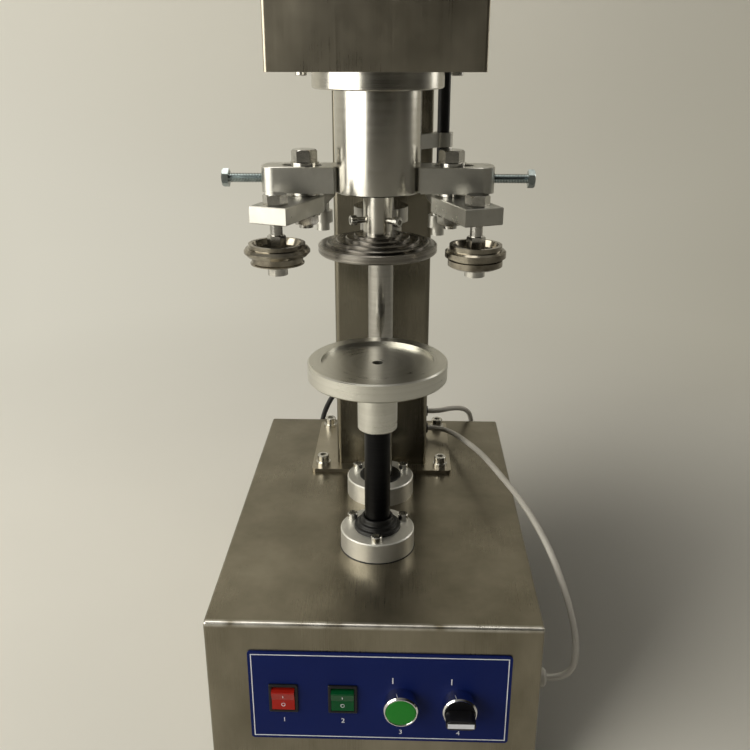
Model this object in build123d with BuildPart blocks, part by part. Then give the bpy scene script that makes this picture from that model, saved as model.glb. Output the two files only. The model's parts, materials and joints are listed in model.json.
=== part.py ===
"""Benchtop electric can seamer, in millimetres.

+Z is up and the front faces -Y.  The origin is on the floor, under the middle of the base.
The base holds the gear motor that turns the camshaft, the column carries the head, and the
head turns the chuck.  The can stands on the lift plate, under the chuck.
"""
import math
import os

from build123d import *

os.makedirs("parts", exist_ok=True)

# Clearances, on the radius or on each side
running_fit = 0.05
seat_gap = 0.05
screw_gap = 0.2
free_gap = 0.3

# Base box of folded sheet
base_width = 285.0
base_depth = 420.0
base_height = 180.0
sheet = 2.0
edge_radius = 2.5
floor_lip = 16.0
foot_height = 20.0
foot_radius = 19.0
foot_top_radius = 15.0
foot_edge = 4.0
foot_inset = 27.0

# Control panel
panel_width = 224.0
panel_height = 92.0
panel_thickness = 1.5
panel_corner = 3.0
panel_x = 5.5
panel_z = 126.5
control_z = 123.0
rocker_z = 125.0
# Control places, as shares of the panel's width from its middle
power_rocker_share = -0.3683
head_rocker_share = -0.1406
jog_button_share = 0.0826
selector_share = 0.3058

# Rocker switches
rocker_flange_width = 25.0
rocker_flange_height = 29.0
rocker_flange_thickness = 2.0
rocker_lip = 1.2
rocker_wall = 1.1
rocker_depth = 20.0
rocker_floor = 2.0
rocker_cap_gap = 0.4
rocker_cap_height = 20.5
rocker_cap_edge = 0.7
rocker_frame_edge = 0.6
rocker_valley = 2.2
rocker_throw = 18.0
rocker_reach = 7.5
rocker_back = 5.0
rocker_pin_radius = 1.5
rocker_pin_depth = 3.0

# Round controls
bezel_radius = 14.5
bezel_reach = 14.0
bezel_bevel = 2.5
barrel_radius = 10.9
barrel_depth = 26.0
barrel_floor = 6.0
button_radius = 10.0
button_edge = 1.0
button_thickness = 6.0
button_stem_radius = 4.0
button_travel = 4.0
knob_bar_length = 25.0
knob_bar_width = 9.0
knob_bar_reach = 13.2
knob_bar_edge = 1.0

# Shaft axes and column
column_inset = 82.0
camshaft_reach = 106.0
spindle_reach = 212.0
column_side = 100.0
column_wall = 4.0
column_corner = 5.0
column_height = 428.0
foot_plate_width = 156.0
foot_plate_depth = 130.0
foot_plate_thickness = 4.0
foot_plate_corner = 4.0
foot_bolt_pitch_x = 132.0
foot_bolt_pitch_y = 103.0
cable_hole_radius = 20.0

# Fasteners
head_bevel = 0.6
socket_share = 0.55
m8_radius = 4.0
m8_head_radius = 6.5
m8_head_height = 8.0
m8_washer_radius = 8.0
m8_washer_stack = 3.6
m6_radius = 3.0
m6_head_radius = 5.0
m6_head_height = 6.0
m5_radius = 2.5
m5_head_radius = 4.25
m5_head_height = 5.0
screw_reach = 6.0
m10_radius = 5.0
m10_across_flats = 17.0
m10_head_height = 8.5
axle_nut_across_flats = 13.0
axle_nut_height = 11.0
m12_radius = 6.0
m12_across_flats = 18.5
m12_head_height = 10.0
m12_nut_height = 7.5
m12_thread_end = 3.0
m12_washer_radius = 12.0
m12_washer = 2.5

# Bearing flanges, bushes and seals
flange_radius = 35.0
flange_height = 20.0
flange_bevel = 1.0
flange_screw_circle = 28.0
flange_screw_count = 3
bush_radius = 16.0
bush_length = 28.0
boot_radius = 22.0
boot_seat = 4.0
boot_step = 3.5
boot_height = 12.0
lift_shaft_radius = 12.0
cam_shaft_radius = 12.5

# Lift plate
can_space = 97.0
lift_plate_radius = 62.0
lift_plate_thickness = 16.5
lift_recess_radius = 50.0
lift_recess_depth = 3.0
lift_hub_radius = 18.0
lift_hub_length = 49.5
lift_spigot_radius = 9.0
lift_spigot_length = 54.0
lift_hole_radius = 4.8
lift_edge_bevel = 1.2

# Head
head_width = 160.0
head_depth = 340.0
head_height = 208.0
head_overhang = 58.0
head_plate_thickness = 8.0
head_screw_x = 64.0
head_screw_front = 30.0
head_screw_rear = 232.0

# Spindle
housing_radius = 35.0
housing_length = 81.0
housing_bevel = 1.0
housing_flange_radius = 52.5
housing_flange_thickness = 14.0
housing_screw_circle = 44.0
housing_screw_count = 6
housing_screw_depth = 10.0
bearing_radius = 26.0
bearing_width = 15.0
bearing_spacing = 36.0
nose_radius = 12.0
nose_length = 35.0
nose_gap = 1.0
shank_radius = 7.0
shank_length = 30.0
spindle_rise = 46.0
clamp_screw_count = 3
clamp_screw_angle = 200.0
clamp_screw_reach = 24.0
clamp_screw_rise = 12.0

# Chuck
chuck_radius = 50.0
chuck_lip = 7.5
chuck_lip_bevel = 1.5
chuck_step_radii = [43.0, 35.0, 27.0, 20.0]
chuck_step_height = 2.1
chuck_step_bevel = 0.7

# Slide arms and pivots
arm_reach = 95.0
arm_depth = 30.0
arm_height = 21.0
arm_end_radius = 11.0
arm_pocket = 5.0
arm_tenon = 18.0
edge_break = 0.6
slot_width = 12.8
slot_root = 10.0
slot_wall = 17.0
pivot_offset = 1.5
spacer_thickness = 3.0
adjusting_length = 33.0
adjusting_head_height = 5.5
adjusting_across_flats = 13.0

# Seaming levers and cam followers
lever_thickness = 13.7
lever_width = 32.0
lever_rear_width = 24.0
lever_nose = 13.0
axle_dx = 18.5
axle_dy = 47.0
follower_dx = 7.0
follower_dy = 78.0
follower_radius = 9.0
follower_height = 11.0
follower_pin_radius = 4.0
follower_collar_radius = 6.0
follower_collar_height = 7.0
first_follower_drop = 13.0
second_follower_drop = 17.0

# Seaming rolls: outlines from bore to bore, as radius and height over the middle of the seam
roll_collar_radius = 8.0
roll_collar_height = 5.5
roll_bottom = -6.7
roll_dish_floor = 8.0
roll_top = 13.0
first_roll_outline = [
    (10.0, roll_bottom), (21.5, -3.2), (21.5, -2.4), (20.5, -1.6), (20.5, 2.2), (24.0, 3.4), (26.3, 6.0),
    (26.3, 7.5), (24.8, 9.5), (22.5, 9.9), (22.5, roll_top), (19.5, roll_top), (17.0, roll_dish_floor),
]
second_roll_outline = [
    (9.0, roll_bottom), (18.0, -5.4), (21.6, -3.6), (21.6, 1.0), (20.0, 1.6), (20.0, 2.8), (24.0, 3.4),
    (24.0, 7.6), (22.5, 9.0), (20.7, 9.2), (20.7, roll_top), (17.7, roll_top), (16.0, roll_dish_floor),
]

# Cams
cam_thickness = 14.0
cam_base_radius = 26.0
cam_nose_radius = 14.0
cam_lobe_radius = 46.0
cam_hub_radius = 20.0
cam_hub_length = 10.0
cam_drop = 13.5
lift_cam_radius = 32.0
lift_cam_rise = 20.0
lift_cam_height = 26.0

# Lift rocker in the base
lift_foot_depth = 39.2
lift_rocker_arm = 40.0
lift_rocker_play = 0.8
lift_roller_radius = 8.0
lift_rocker_height = 10.0
lift_rocker_width = 14.0
lift_bracket_thickness = 5.0
lift_bracket_depth = 26.0
lift_pin_radius = 4.0

# Drives
drive_corner = 6.0
gearbox_width = 96.0
gearbox_height = 98.0
gear_motor_radius = 40.0
gear_motor_length = 125.0
gear_motor_z = 72.0
cam_shaft_seat = 60.0
motor_reach = 52.0
motor_radius = 56.0
motor_height = 120.0
motor_foot = 6.0
motor_post_radius = 6.0
motor_post_pitch = 100.0
motor_plate_side = 116.0
motor_shaft_radius = 9.0
pulley_height = 18.0
pulley_rim = 3.0
pulley_lift = 12.0
spindle_pulley_radius = 45.0
motor_pulley_radius = 30.0
pulley_rim_reach = 7.0
belt_thickness = 5.0

# Lever sensor
sensor_x = 55.0
sensor_offset = 54.0
sensor_radius = 5.3
sensor_gap = 7.0
sensor_clip_wall = 3.0
sensor_clip_height = 12.0
sensor_clip_width = 6.0
sensor_clip_drop = 53.0

# Cables and their glands
cable_radius = 3.0
black_cable_radius = 3.25
gland_across_flats = 19.0
gland_body_radius = 8.8
gland_dome_radius = 6.5
gland_nut_height = 7.0
gland_thread_radius = 6.0
gland_thread_length = 12.0
rear_gland_reach = 29.0
side_gland_reach = 15.0
side_gland_inset = 57.0
side_gland_z = 103.5
rear_gland_x = 116.0
black_gland_x = -86.0
rear_gland_z = 110.0
mains_gland_x = 15.0
mains_gland_z = 62.0
# Grommets in the column's right wall, as distance behind its axis and height over its foot plate
head_grommet = (28.0, 10.0)
rear_grommet = (40.0, 27.0)
# Grommet in the column's rear wall, as distance across and height over its foot plate
black_grommet = (-30.0, 58.0)
grommet_radius = 6.5
grommet_reach = 4.0
grommet_lip = 1.5
grommet_edge = 1.0
bend_share = 0.45

# Cable routes, from the column to the glands
head_cable_route = [
    (54, 156, 214), (69, 156, 214), (84, 137, 216), (96, 98, 224), (109, 47, 234), (122, -8, 239),
    (143, -56, 230), (164, -92, 203), (177, -125, 172), (183, -145, 147), (184, -152, 127),
    (181, -153, 112), (171, -153, 103.5), (157.5, -153, 103.5),
]
rear_cable_route = [
    (54, 168, 231), (67, 168, 231), (82, 182, 229), (97, 202, 221), (108, 224, 207), (113, 243, 190),
    (116, 255, 169), (116, 261, 148), (116, 261, 131), (116, 257, 118), (116, 249, 110),
    (116, 239, 110),
]
black_cable_route = [
    (-30, 182, 262), (-30, 194, 262), (-37, 205, 259), (-48, 214, 250), (-60, 221, 236), (-70, 228, 219),
    (-78, 236, 200), (-83, 246, 180), (-86, 255, 160), (-86, 261, 141), (-86, 259, 122),
    (-86, 249, 110), (-86, 239, 110),
]

# Levels and planes worked out from the sizes above
column_y = base_depth / 2 - column_inset
camshaft_y = column_y - camshaft_reach
spindle_y = column_y - spindle_reach
motor_y = column_y - motor_reach
sensor_y = spindle_y + sensor_offset
side_gland_y = side_gland_inset - base_depth / 2
base_bottom = foot_height
base_top = base_bottom + base_height
flange_top = base_top + flange_height
foot_plate_top = base_top + foot_plate_thickness
head_bottom = foot_plate_top + column_height
head_y = column_y + head_overhang - head_depth / 2
housing_top = head_bottom - housing_flange_thickness
housing_bottom = housing_top - housing_length
upper_bearing_z = housing_top - bearing_width
lower_bearing_z = upper_bearing_z - bearing_spacing
chuck_top = housing_bottom - nose_length
chuck_lip_top = chuck_top - chuck_step_height * len(chuck_step_radii)
chuck_bottom = chuck_lip_top - chuck_lip
seam_z = chuck_lip_top - (chuck_lip - chuck_lip_bevel) / 2
arm_top = housing_bottom + arm_height
arm_middle = housing_bottom + arm_height / 2
slot_inner = housing_radius + slot_root
slot_outer = arm_reach - slot_wall
pivot_x = (slot_inner + slot_outer) / 2 - pivot_offset
adjusting_reach = arm_reach + adjusting_length
lever_top = housing_bottom - spacer_thickness - free_gap
lever_bottom = lever_top - lever_thickness
cam_top = lever_bottom - cam_drop
cam_bottom = cam_top - cam_thickness
lift_plate_top = chuck_bottom - can_space
lift_plate_bottom = lift_plate_top - lift_plate_thickness
lift_hub_bottom = lift_plate_bottom - lift_hub_length
lift_spigot_top = lift_hub_bottom + lift_spigot_length
lift_foot_z = base_top - lift_foot_depth
lift_rocker_z = lift_foot_z - lift_rocker_play - lift_roller_radius
lift_rocker_y = spindle_y + lift_rocker_arm
lift_roller_y = lift_rocker_y + lift_rocker_arm
lift_cam_bottom = lift_rocker_z + lift_roller_radius + lift_rocker_play
pulley_bottom = head_bottom + head_plate_thickness + pulley_lift
pulley_top = pulley_bottom + pulley_height
power_rocker_x = panel_x + power_rocker_share * panel_width
head_rocker_x = panel_x + head_rocker_share * panel_width
jog_button_x = panel_x + jog_button_share * panel_width
selector_x = panel_x + selector_share * panel_width
rocker_pivot_y = -base_depth / 2 - panel_thickness + rocker_pin_depth
rocker_body_width = rocker_flange_width - 2 * rocker_lip
rocker_body_height = rocker_flange_height - 2 * rocker_lip
rocker_well_width = rocker_body_width - 2 * rocker_wall
rocker_well_height = rocker_body_height - 2 * rocker_wall
front_plane = Plane.XZ.offset(base_depth / 2)
panel_plane = front_plane.offset(panel_thickness)
right_plane = Plane.YZ.offset(base_width / 2)
rear_plane = Plane.ZX.offset(base_depth / 2)
rocker_places = [(power_rocker_x, rocker_z), (head_rocker_x, rocker_z)]
button_places = [(jog_button_x, control_z), (selector_x, control_z)]
rear_gland_places = [
    (rear_gland_x, rear_gland_z),
    (black_gland_x, rear_gland_z),
    (mains_gland_x, mains_gland_z),
]
foot_bolt_places = [
    (side * foot_bolt_pitch_x / 2, column_y + end * foot_bolt_pitch_y / 2)
    for side in (-1, 1)
    for end in (-1, 1)
]


def finish(piece, name):
    """Label a piece and write it to its own file."""
    piece.label = name
    export_step(piece, f"parts/{name}.step")


def hole_circle(x, y, radius, count, start_angle):
    """Points on a circle about x, y."""
    turns = [math.radians(start_angle + 360 / count * index) for index in range(count)]
    return [(x + radius * math.cos(turn), y + radius * math.sin(turn)) for turn in turns]


def turned(x, y, outline):
    """A piece turned about the upright axis at x, y, from its outline in radius and height."""
    with BuildPart() as piece:
        with BuildSketch(Plane(origin=(x, y, 0), x_dir=(1, 0, 0), z_dir=(0, -1, 0))):
            with BuildLine():
                Polyline(*outline, close=True)
            make_face()
        revolve(axis=Axis((x, y, 0), (0, 0, 1)))
    return piece.part


def ring(x, y, inner, outer, bottom, top):
    """A plain upright ring."""
    return turned(x, y, [(inner, bottom), (outer, bottom), (outer, top), (inner, top)])


def crown(plane, across_flats, height):
    """The round blank that bevels a hexagon's outer corners."""
    corner_radius = across_flats / math.sqrt(3)
    with BuildPart() as blank:
        with BuildSketch(plane):
            Circle(corner_radius)
        extrude(amount=height)
        rims = blank.edges().group_by(Axis(plane.origin, plane.z_dir))
        chamfer(rims[-1], corner_radius - across_flats / 2)
    return blank.part


def hexagon(plane, across_flats, height):
    """A hexagonal head or nut, standing on a plane, with its outer corners bevelled."""
    with BuildPart() as piece:
        with BuildSketch(plane):
            RegularPolygon(across_flats / 2, 6, major_radius=False)
        extrude(amount=height)
        add(crown(plane, across_flats, height), mode=Mode.INTERSECT)
    return piece.part


def cap_screw(plane, radius, head_radius, head_height, grip):
    """A socket head screw: its head stands on the plane and its shank goes below it."""
    with BuildPart() as screw:
        with BuildSketch(plane):
            Circle(head_radius)
        extrude(amount=head_height)
        rims = screw.edges().group_by(Axis(plane.origin, plane.z_dir))
        chamfer(rims[-1], head_bevel)
        with BuildSketch(plane.offset(head_height)):
            RegularPolygon(head_radius * socket_share, 6)
        extrude(amount=-head_height * socket_share, mode=Mode.SUBTRACT)
        with BuildSketch(plane):
            Circle(radius)
        extrude(amount=-grip)
    return screw.part


# Base box: a folded shell, open below, with a turned-in lip for the floor plate
flange_screw_places = [
    place
    for shaft_y in (spindle_y, camshaft_y)
    for place in hole_circle(0, shaft_y, flange_screw_circle, flange_screw_count, -90)
]
with BuildPart() as base_housing:
    with BuildSketch(Plane.XY.offset(base_bottom)):
        Rectangle(base_width, base_depth)
    extrude(amount=base_height)
    fillet(base_housing.edges().filter_by(Axis.Z), edge_radius)
    fillet(base_housing.faces().sort_by(Axis.Z)[-1].edges(), edge_radius)
    offset(amount=-sheet, openings=base_housing.faces().sort_by(Axis.Z)[0])
    with BuildSketch(Plane.XY.offset(base_bottom + sheet)):
        RectangleRounded(base_width - sheet, base_depth - sheet, edge_radius - sheet / 2)
        Rectangle(base_width - 2 * floor_lip, base_depth - 2 * floor_lip, mode=Mode.SUBTRACT)
    extrude(amount=sheet)
    with BuildSketch(Plane.XY.offset(base_top)):
        with Locations((0, spindle_y), (0, camshaft_y)):
            Circle(bush_radius + screw_gap)
        with Locations(*flange_screw_places):
            Circle(m6_radius + screw_gap)
        with Locations((0, column_y)):
            Circle(cable_hole_radius)
        with Locations(*foot_bolt_places):
            Circle(m8_radius + screw_gap)
    extrude(amount=-sheet, mode=Mode.SUBTRACT)
    with BuildSketch(front_plane):
        with Locations(*rocker_places):
            Rectangle(rocker_body_width + 2 * screw_gap, rocker_body_height + 2 * screw_gap)
        with Locations(*button_places):
            Circle(barrel_radius + screw_gap)
    extrude(amount=-sheet, mode=Mode.SUBTRACT)
    with BuildSketch(right_plane):
        with Locations((side_gland_y, side_gland_z)):
            Circle(gland_thread_radius + screw_gap)
    extrude(amount=-sheet, mode=Mode.SUBTRACT)
    with BuildSketch(rear_plane):
        with Locations(*[(z, x) for x, z in rear_gland_places]):
            Circle(gland_thread_radius + screw_gap)
    extrude(amount=-sheet, mode=Mode.SUBTRACT)
finish(base_housing.part, "base_housing")

floor_gap = sheet + free_gap
with BuildPart() as base_bottom_plate:
    with BuildSketch(Plane.XY.offset(base_bottom)):
        RectangleRounded(base_width - 2 * floor_gap, base_depth - 2 * floor_gap, edge_radius - sheet)
    extrude(amount=sheet)
finish(base_bottom_plate.part, "base_bottom_plate")

with BuildPart() as rubber_feet:
    for side in (-1, 1):
        for end in (-1, 1):
            foot_x = side * (base_width / 2 - foot_inset)
            foot_y = end * (base_depth / 2 - foot_inset)
            foot_outline = [
                (0, 0),
                (foot_radius, 0),
                (foot_radius, foot_edge),
                (foot_top_radius, foot_height),
                (0, foot_height),
            ]
            add(turned(foot_x, foot_y, foot_outline))
finish(rubber_feet.part, "rubber_feet")

# Control panel and its switches
with BuildPart() as control_panel_plate:
    with BuildSketch(front_plane):
        with Locations((panel_x, panel_z)):
            RectangleRounded(panel_width, panel_height, panel_corner)
        with Locations(*rocker_places):
            Rectangle(
                rocker_body_width + 2 * screw_gap,
                rocker_body_height + 2 * screw_gap,
                mode=Mode.SUBTRACT,
            )
        with Locations(*button_places):
            Circle(barrel_radius + screw_gap, mode=Mode.SUBTRACT)
    extrude(amount=panel_thickness)
finish(control_panel_plate.part, "control_panel_plate")


def rocker_frame(x):
    """The fixed frame of a rocker switch, with a well and two pivot holes for its cap."""
    with BuildPart() as frame:
        with BuildSketch(panel_plane):
            with Locations((x, rocker_z)):
                RectangleRounded(rocker_flange_width, rocker_flange_height, rocker_lip)
        extrude(amount=rocker_flange_thickness)
        chamfer(frame.faces().sort_by(Axis.Y)[0].edges(), rocker_frame_edge)
        with BuildSketch(panel_plane):
            with Locations((x, rocker_z)):
                Rectangle(rocker_body_width, rocker_body_height)
        extrude(amount=-rocker_depth)
        with BuildSketch(panel_plane.offset(rocker_flange_thickness)):
            with Locations((x, rocker_z)):
                Rectangle(rocker_well_width, rocker_well_height)
        extrude(amount=rocker_floor - rocker_depth - rocker_flange_thickness, mode=Mode.SUBTRACT)
        with BuildSketch(Plane.YZ.offset(x)):
            with Locations((rocker_pivot_y, rocker_z)):
                Circle(rocker_pin_radius + running_fit)
        extrude(amount=rocker_body_width / 2, both=True, mode=Mode.SUBTRACT)
    return frame.part


def rocker_cap(x):
    """A rocking cap on its two pins, at rest with its lower half pressed in."""
    tilt = math.radians(rocker_throw / 2)
    outward = (0, -math.cos(tilt), -math.sin(tilt))
    cap_plane = Plane(origin=(x, rocker_pivot_y, rocker_z), x_dir=outward, z_dir=(-1, 0, 0))
    half = rocker_cap_height / 2
    with BuildPart() as cap:
        with BuildSketch(cap_plane):
            with BuildLine():
                Polyline((0, half), (rocker_reach, half), (rocker_reach - rocker_valley, 0))
                Polyline((rocker_reach - rocker_valley, 0), (rocker_reach, -half), (0, -half))
                ThreePointArc((0, -half), (-rocker_back, 0), (0, half))
            make_face()
        extrude(amount=rocker_well_width / 2 - rocker_cap_gap, both=True)
        lips = cap.edges().filter_by(Axis.X).sort_by(Axis.Y)[:2]
        fillet(lips, rocker_cap_edge)
        with BuildSketch(cap_plane):
            Circle(rocker_pin_radius)
        extrude(amount=rocker_body_width / 2, both=True)
    return cap.part


finish(rocker_frame(power_rocker_x), "power_rocker_frame")
finish(rocker_cap(power_rocker_x), "power_rocker_cap")
finish(rocker_frame(head_rocker_x), "head_rocker_frame")
finish(rocker_cap(head_rocker_x), "head_rocker_cap")


def control_plane(x, reach):
    """A plane across a round control's axis, that far in front of the panel."""
    panel_y = -base_depth / 2 - panel_thickness
    return Plane(origin=(x, panel_y - reach, control_z), x_dir=(1, 0, 0), z_dir=(0, -1, 0))


def control_bezel(x):
    """A round control's bezel and barrel, bored for its cap and for the cap's stem."""
    with BuildPart() as bezel:
        with BuildSketch(control_plane(x, 0)):
            Circle(bezel_radius)
        extrude(amount=bezel_reach)
        chamfer(bezel.edges().group_by(Axis.Y)[0], bezel_bevel)
        with BuildSketch(control_plane(x, 0)):
            Circle(barrel_radius)
        extrude(amount=-barrel_depth)
        with BuildSketch(control_plane(x, bezel_reach)):
            Circle(button_radius + free_gap)
        extrude(amount=barrel_floor - barrel_depth - bezel_reach, mode=Mode.SUBTRACT)
        with BuildSketch(control_plane(x, -barrel_depth)):
            Circle(button_stem_radius + running_fit)
        extrude(amount=barrel_floor, mode=Mode.SUBTRACT)
    return bezel.part


finish(control_bezel(jog_button_x), "jog_button_bezel")
finish(control_bezel(selector_x), "selector_bezel")

stem_end = button_travel - barrel_depth
with BuildPart() as jog_button_cap:
    with BuildSketch(control_plane(jog_button_x, bezel_reach)):
        Circle(button_radius)
    extrude(amount=-button_thickness)
    fillet(jog_button_cap.edges().group_by(Axis.Y)[0], button_edge)
    with BuildSketch(control_plane(jog_button_x, stem_end)):
        Circle(button_stem_radius)
    extrude(amount=bezel_reach - button_thickness - stem_end)
finish(jog_button_cap.part, "jog_button_cap")

with BuildPart() as selector_knob:
    with BuildSketch(control_plane(selector_x, bezel_reach)):
        Circle(button_radius)
    extrude(amount=-button_thickness)
    with BuildSketch(control_plane(selector_x, bezel_reach + free_gap)):
        SlotOverall(knob_bar_length, knob_bar_width)
    extrude(amount=knob_bar_reach)
    fillet(selector_knob.edges().group_by(Axis.Y)[0], knob_bar_edge)
    with BuildSketch(control_plane(selector_x, bezel_reach)):
        Circle(knob_bar_width / 2)
    extrude(amount=free_gap)
    with BuildSketch(control_plane(selector_x, stem_end)):
        Circle(button_stem_radius)
    extrude(amount=bezel_reach - button_thickness - stem_end)
finish(selector_knob.part, "selector_knob")

# Column on its foot plate
with BuildPart() as column_base_plate:
    with BuildSketch(Plane.XY.offset(base_top)):
        with Locations((0, column_y)):
            RectangleRounded(foot_plate_width, foot_plate_depth, foot_plate_corner)
            Circle(cable_hole_radius, mode=Mode.SUBTRACT)
        with Locations(*foot_bolt_places):
            Circle(m8_radius + screw_gap, mode=Mode.SUBTRACT)
    extrude(amount=foot_plate_thickness)
finish(column_base_plate.part, "column_base_plate")

with BuildPart() as column_plate_screws:
    for x, y in foot_bolt_places:
        add(ring(x, y, 0, m8_washer_radius, foot_plate_top, foot_plate_top + m8_washer_stack))
        screw_plane = Plane((x, y, foot_plate_top + m8_washer_stack))
        screw_grip = m8_washer_stack + foot_plate_thickness + sheet + screw_reach
        add(cap_screw(screw_plane, m8_radius, m8_head_radius, m8_head_height, screw_grip))
finish(column_plate_screws.part, "column_plate_screws")

column_right = column_side / 2


def right_wall(spot):
    """The plane of a grommet in the column's right wall."""
    behind, height = spot
    return Plane(origin=(column_right, column_y + behind, foot_plate_top + height), z_dir=(1, 0, 0))


def rear_wall(spot):
    """The plane of a grommet in the column's rear wall."""
    across, height = spot
    return Plane(origin=(across, column_y + column_right, foot_plate_top + height), z_dir=(0, 1, 0))


grommet_places = [
    (right_wall(head_grommet), cable_radius),
    (right_wall(rear_grommet), cable_radius),
    (rear_wall(black_grommet), black_cable_radius),
]
with BuildPart() as column_tube:
    with BuildSketch(Plane.XY.offset(foot_plate_top)):
        with Locations((0, column_y)):
            RectangleRounded(column_side, column_side, column_corner)
            RectangleRounded(
                column_side - 2 * column_wall,
                column_side - 2 * column_wall,
                column_corner - column_wall,
                mode=Mode.SUBTRACT,
            )
    extrude(amount=column_height)
    for wall_plane, radius in grommet_places:
        with BuildSketch(wall_plane):
            Circle(radius + grommet_lip + seat_gap)
        extrude(amount=-column_wall, mode=Mode.SUBTRACT)
finish(column_tube.part, "column_tube")

# Bearing flanges: two on the base top, and one hung under the head for the camshaft's upper end


def bearing_flange(y, foot, up):
    """A flange ring about a shaft, standing on the level foot, or hung from it where up is -1."""
    top = foot + up * flange_height
    seat = top - up * boot_seat
    outline = [
        (bush_radius + seat_gap, foot),
        (flange_radius, foot),
        (flange_radius, top - up * flange_bevel),
        (flange_radius - flange_bevel, top),
        (boot_radius + seat_gap, top),
        (boot_radius + seat_gap, seat),
        (bush_radius + seat_gap, seat),
    ]
    with BuildPart() as flange:
        add(turned(0, y, outline))
        with BuildSketch(Plane.XY.offset(min(foot, top))):
            with Locations(*hole_circle(0, y, flange_screw_circle, flange_screw_count, -90)):
                Circle(m6_radius + screw_gap)
        extrude(amount=flange_height, mode=Mode.SUBTRACT)
    return flange.part


with BuildPart() as bearing_flanges:
    add(bearing_flange(spindle_y, base_top, 1))
    add(bearing_flange(camshaft_y, base_top, 1))
    add(bearing_flange(camshaft_y, head_bottom, -1))
finish(bearing_flanges.part, "bearing_flanges")

head_flange_bottom = head_bottom - flange_height
head_screw_places = hole_circle(0, camshaft_y, flange_screw_circle, flange_screw_count, -90)
plate_screw_places = [
    (side * head_screw_x, spindle_y + behind)
    for side in (-1, 1)
    for behind in (head_screw_front, head_screw_rear)
]
housing_screw_places = hole_circle(0, spindle_y, housing_screw_circle, housing_screw_count, 0)
with BuildPart() as flange_screws:
    for x, y in flange_screw_places:
        screw_plane = Plane((x, y, flange_top))
        screw_grip = flange_height + sheet + screw_reach
        add(cap_screw(screw_plane, m6_radius, m6_head_radius, m6_head_height, screw_grip))
    for x, y in head_screw_places:
        screw_plane = Plane(origin=(x, y, head_flange_bottom), z_dir=(0, 0, -1))
        add(cap_screw(screw_plane, m6_radius, m6_head_radius, m6_head_height, flange_height + screw_reach))
    for x, y in plate_screw_places:
        screw_plane = Plane(origin=(x, y, head_bottom), z_dir=(0, 0, -1))
        screw_grip = head_plate_thickness + screw_reach
        add(cap_screw(screw_plane, m6_radius, m6_head_radius, m6_head_height, screw_grip))
    for x, y in housing_screw_places:
        screw_plane = Plane((x, y, head_bottom + head_plate_thickness))
        screw_grip = head_plate_thickness + housing_screw_depth
        add(cap_screw(screw_plane, m6_radius, m6_head_radius, m6_head_height, screw_grip))
finish(flange_screws.part, "flange_screws")

bush_bottom = flange_top - bush_length
with BuildPart() as shaft_bushes:
    bush_top = flange_top - boot_seat
    add(ring(0, spindle_y, lift_shaft_radius + running_fit, bush_radius, bush_bottom, bush_top))
    add(ring(0, camshaft_y, cam_shaft_radius + running_fit, bush_radius, bush_bottom, bush_top))
    head_bush_bottom = head_flange_bottom + boot_seat
    add(ring(0, camshaft_y, cam_shaft_radius + running_fit, bush_radius, head_bush_bottom, head_bottom))
finish(shaft_bushes.part, "shaft_bushes")

boot_foot = flange_top - boot_seat
boot_top = flange_top + boot_height
boot_bore = lift_shaft_radius + 2 * running_fit
boot_outline = [
    (boot_bore, boot_foot),
    (boot_radius, boot_foot),
    (boot_radius, flange_top + boot_step),
    (boot_radius - boot_step, flange_top + boot_step),
    (boot_radius - boot_step, flange_top + 2 * boot_step),
    (boot_radius - 2 * boot_step, flange_top + 2 * boot_step),
    (boot_radius - 2 * boot_step, boot_top),
    (boot_bore, boot_top),
]
seal_bore = cam_shaft_radius + 2 * running_fit
with BuildPart() as shaft_seals:
    add(turned(0, spindle_y, boot_outline))
    add(ring(0, camshaft_y, seal_bore, boot_radius, boot_foot, flange_top + flange_bevel))
    add(ring(0, camshaft_y, seal_bore, boot_radius, head_flange_bottom, head_flange_bottom + boot_seat))
finish(shaft_seals.part, "shaft_seals")

# Lift shaft and the free-turning lift plate on its spigot
lift_shoulder = lift_hub_bottom - free_gap
lift_shaft = turned(0, spindle_y, [
    (0, lift_foot_z),
    (lift_shaft_radius, lift_foot_z),
    (lift_shaft_radius, lift_shoulder),
    (lift_spigot_radius, lift_shoulder),
    (lift_spigot_radius, lift_spigot_top),
    (0, lift_spigot_top),
])
finish(lift_shaft, "lift_shaft")

lift_bore = lift_spigot_radius + running_fit
lift_bore_top = lift_spigot_top + free_gap
lift_recess_floor = lift_plate_top - lift_recess_depth
lift_plate = turned(0, spindle_y, [
    (lift_bore, lift_hub_bottom),
    (lift_hub_radius - lift_edge_bevel, lift_hub_bottom),
    (lift_hub_radius, lift_hub_bottom + lift_edge_bevel),
    (lift_hub_radius, lift_plate_bottom),
    (lift_plate_radius - lift_edge_bevel, lift_plate_bottom),
    (lift_plate_radius, lift_plate_bottom + lift_edge_bevel),
    (lift_plate_radius, lift_plate_top - lift_edge_bevel),
    (lift_plate_radius - lift_edge_bevel, lift_plate_top),
    (lift_recess_radius, lift_plate_top),
    (lift_recess_radius, lift_recess_floor),
    (lift_hole_radius, lift_recess_floor),
    (lift_hole_radius, lift_bore_top),
    (lift_bore, lift_bore_top),
])
finish(lift_plate, "lift_plate")

# Camshaft: one cam swings both levers in turn, and an end cam works the lift rocker
cam_shaft = ring(0, camshaft_y, 0, cam_shaft_radius, cam_shaft_seat, head_bottom - free_gap)
finish(cam_shaft, "cam_shaft")

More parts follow.
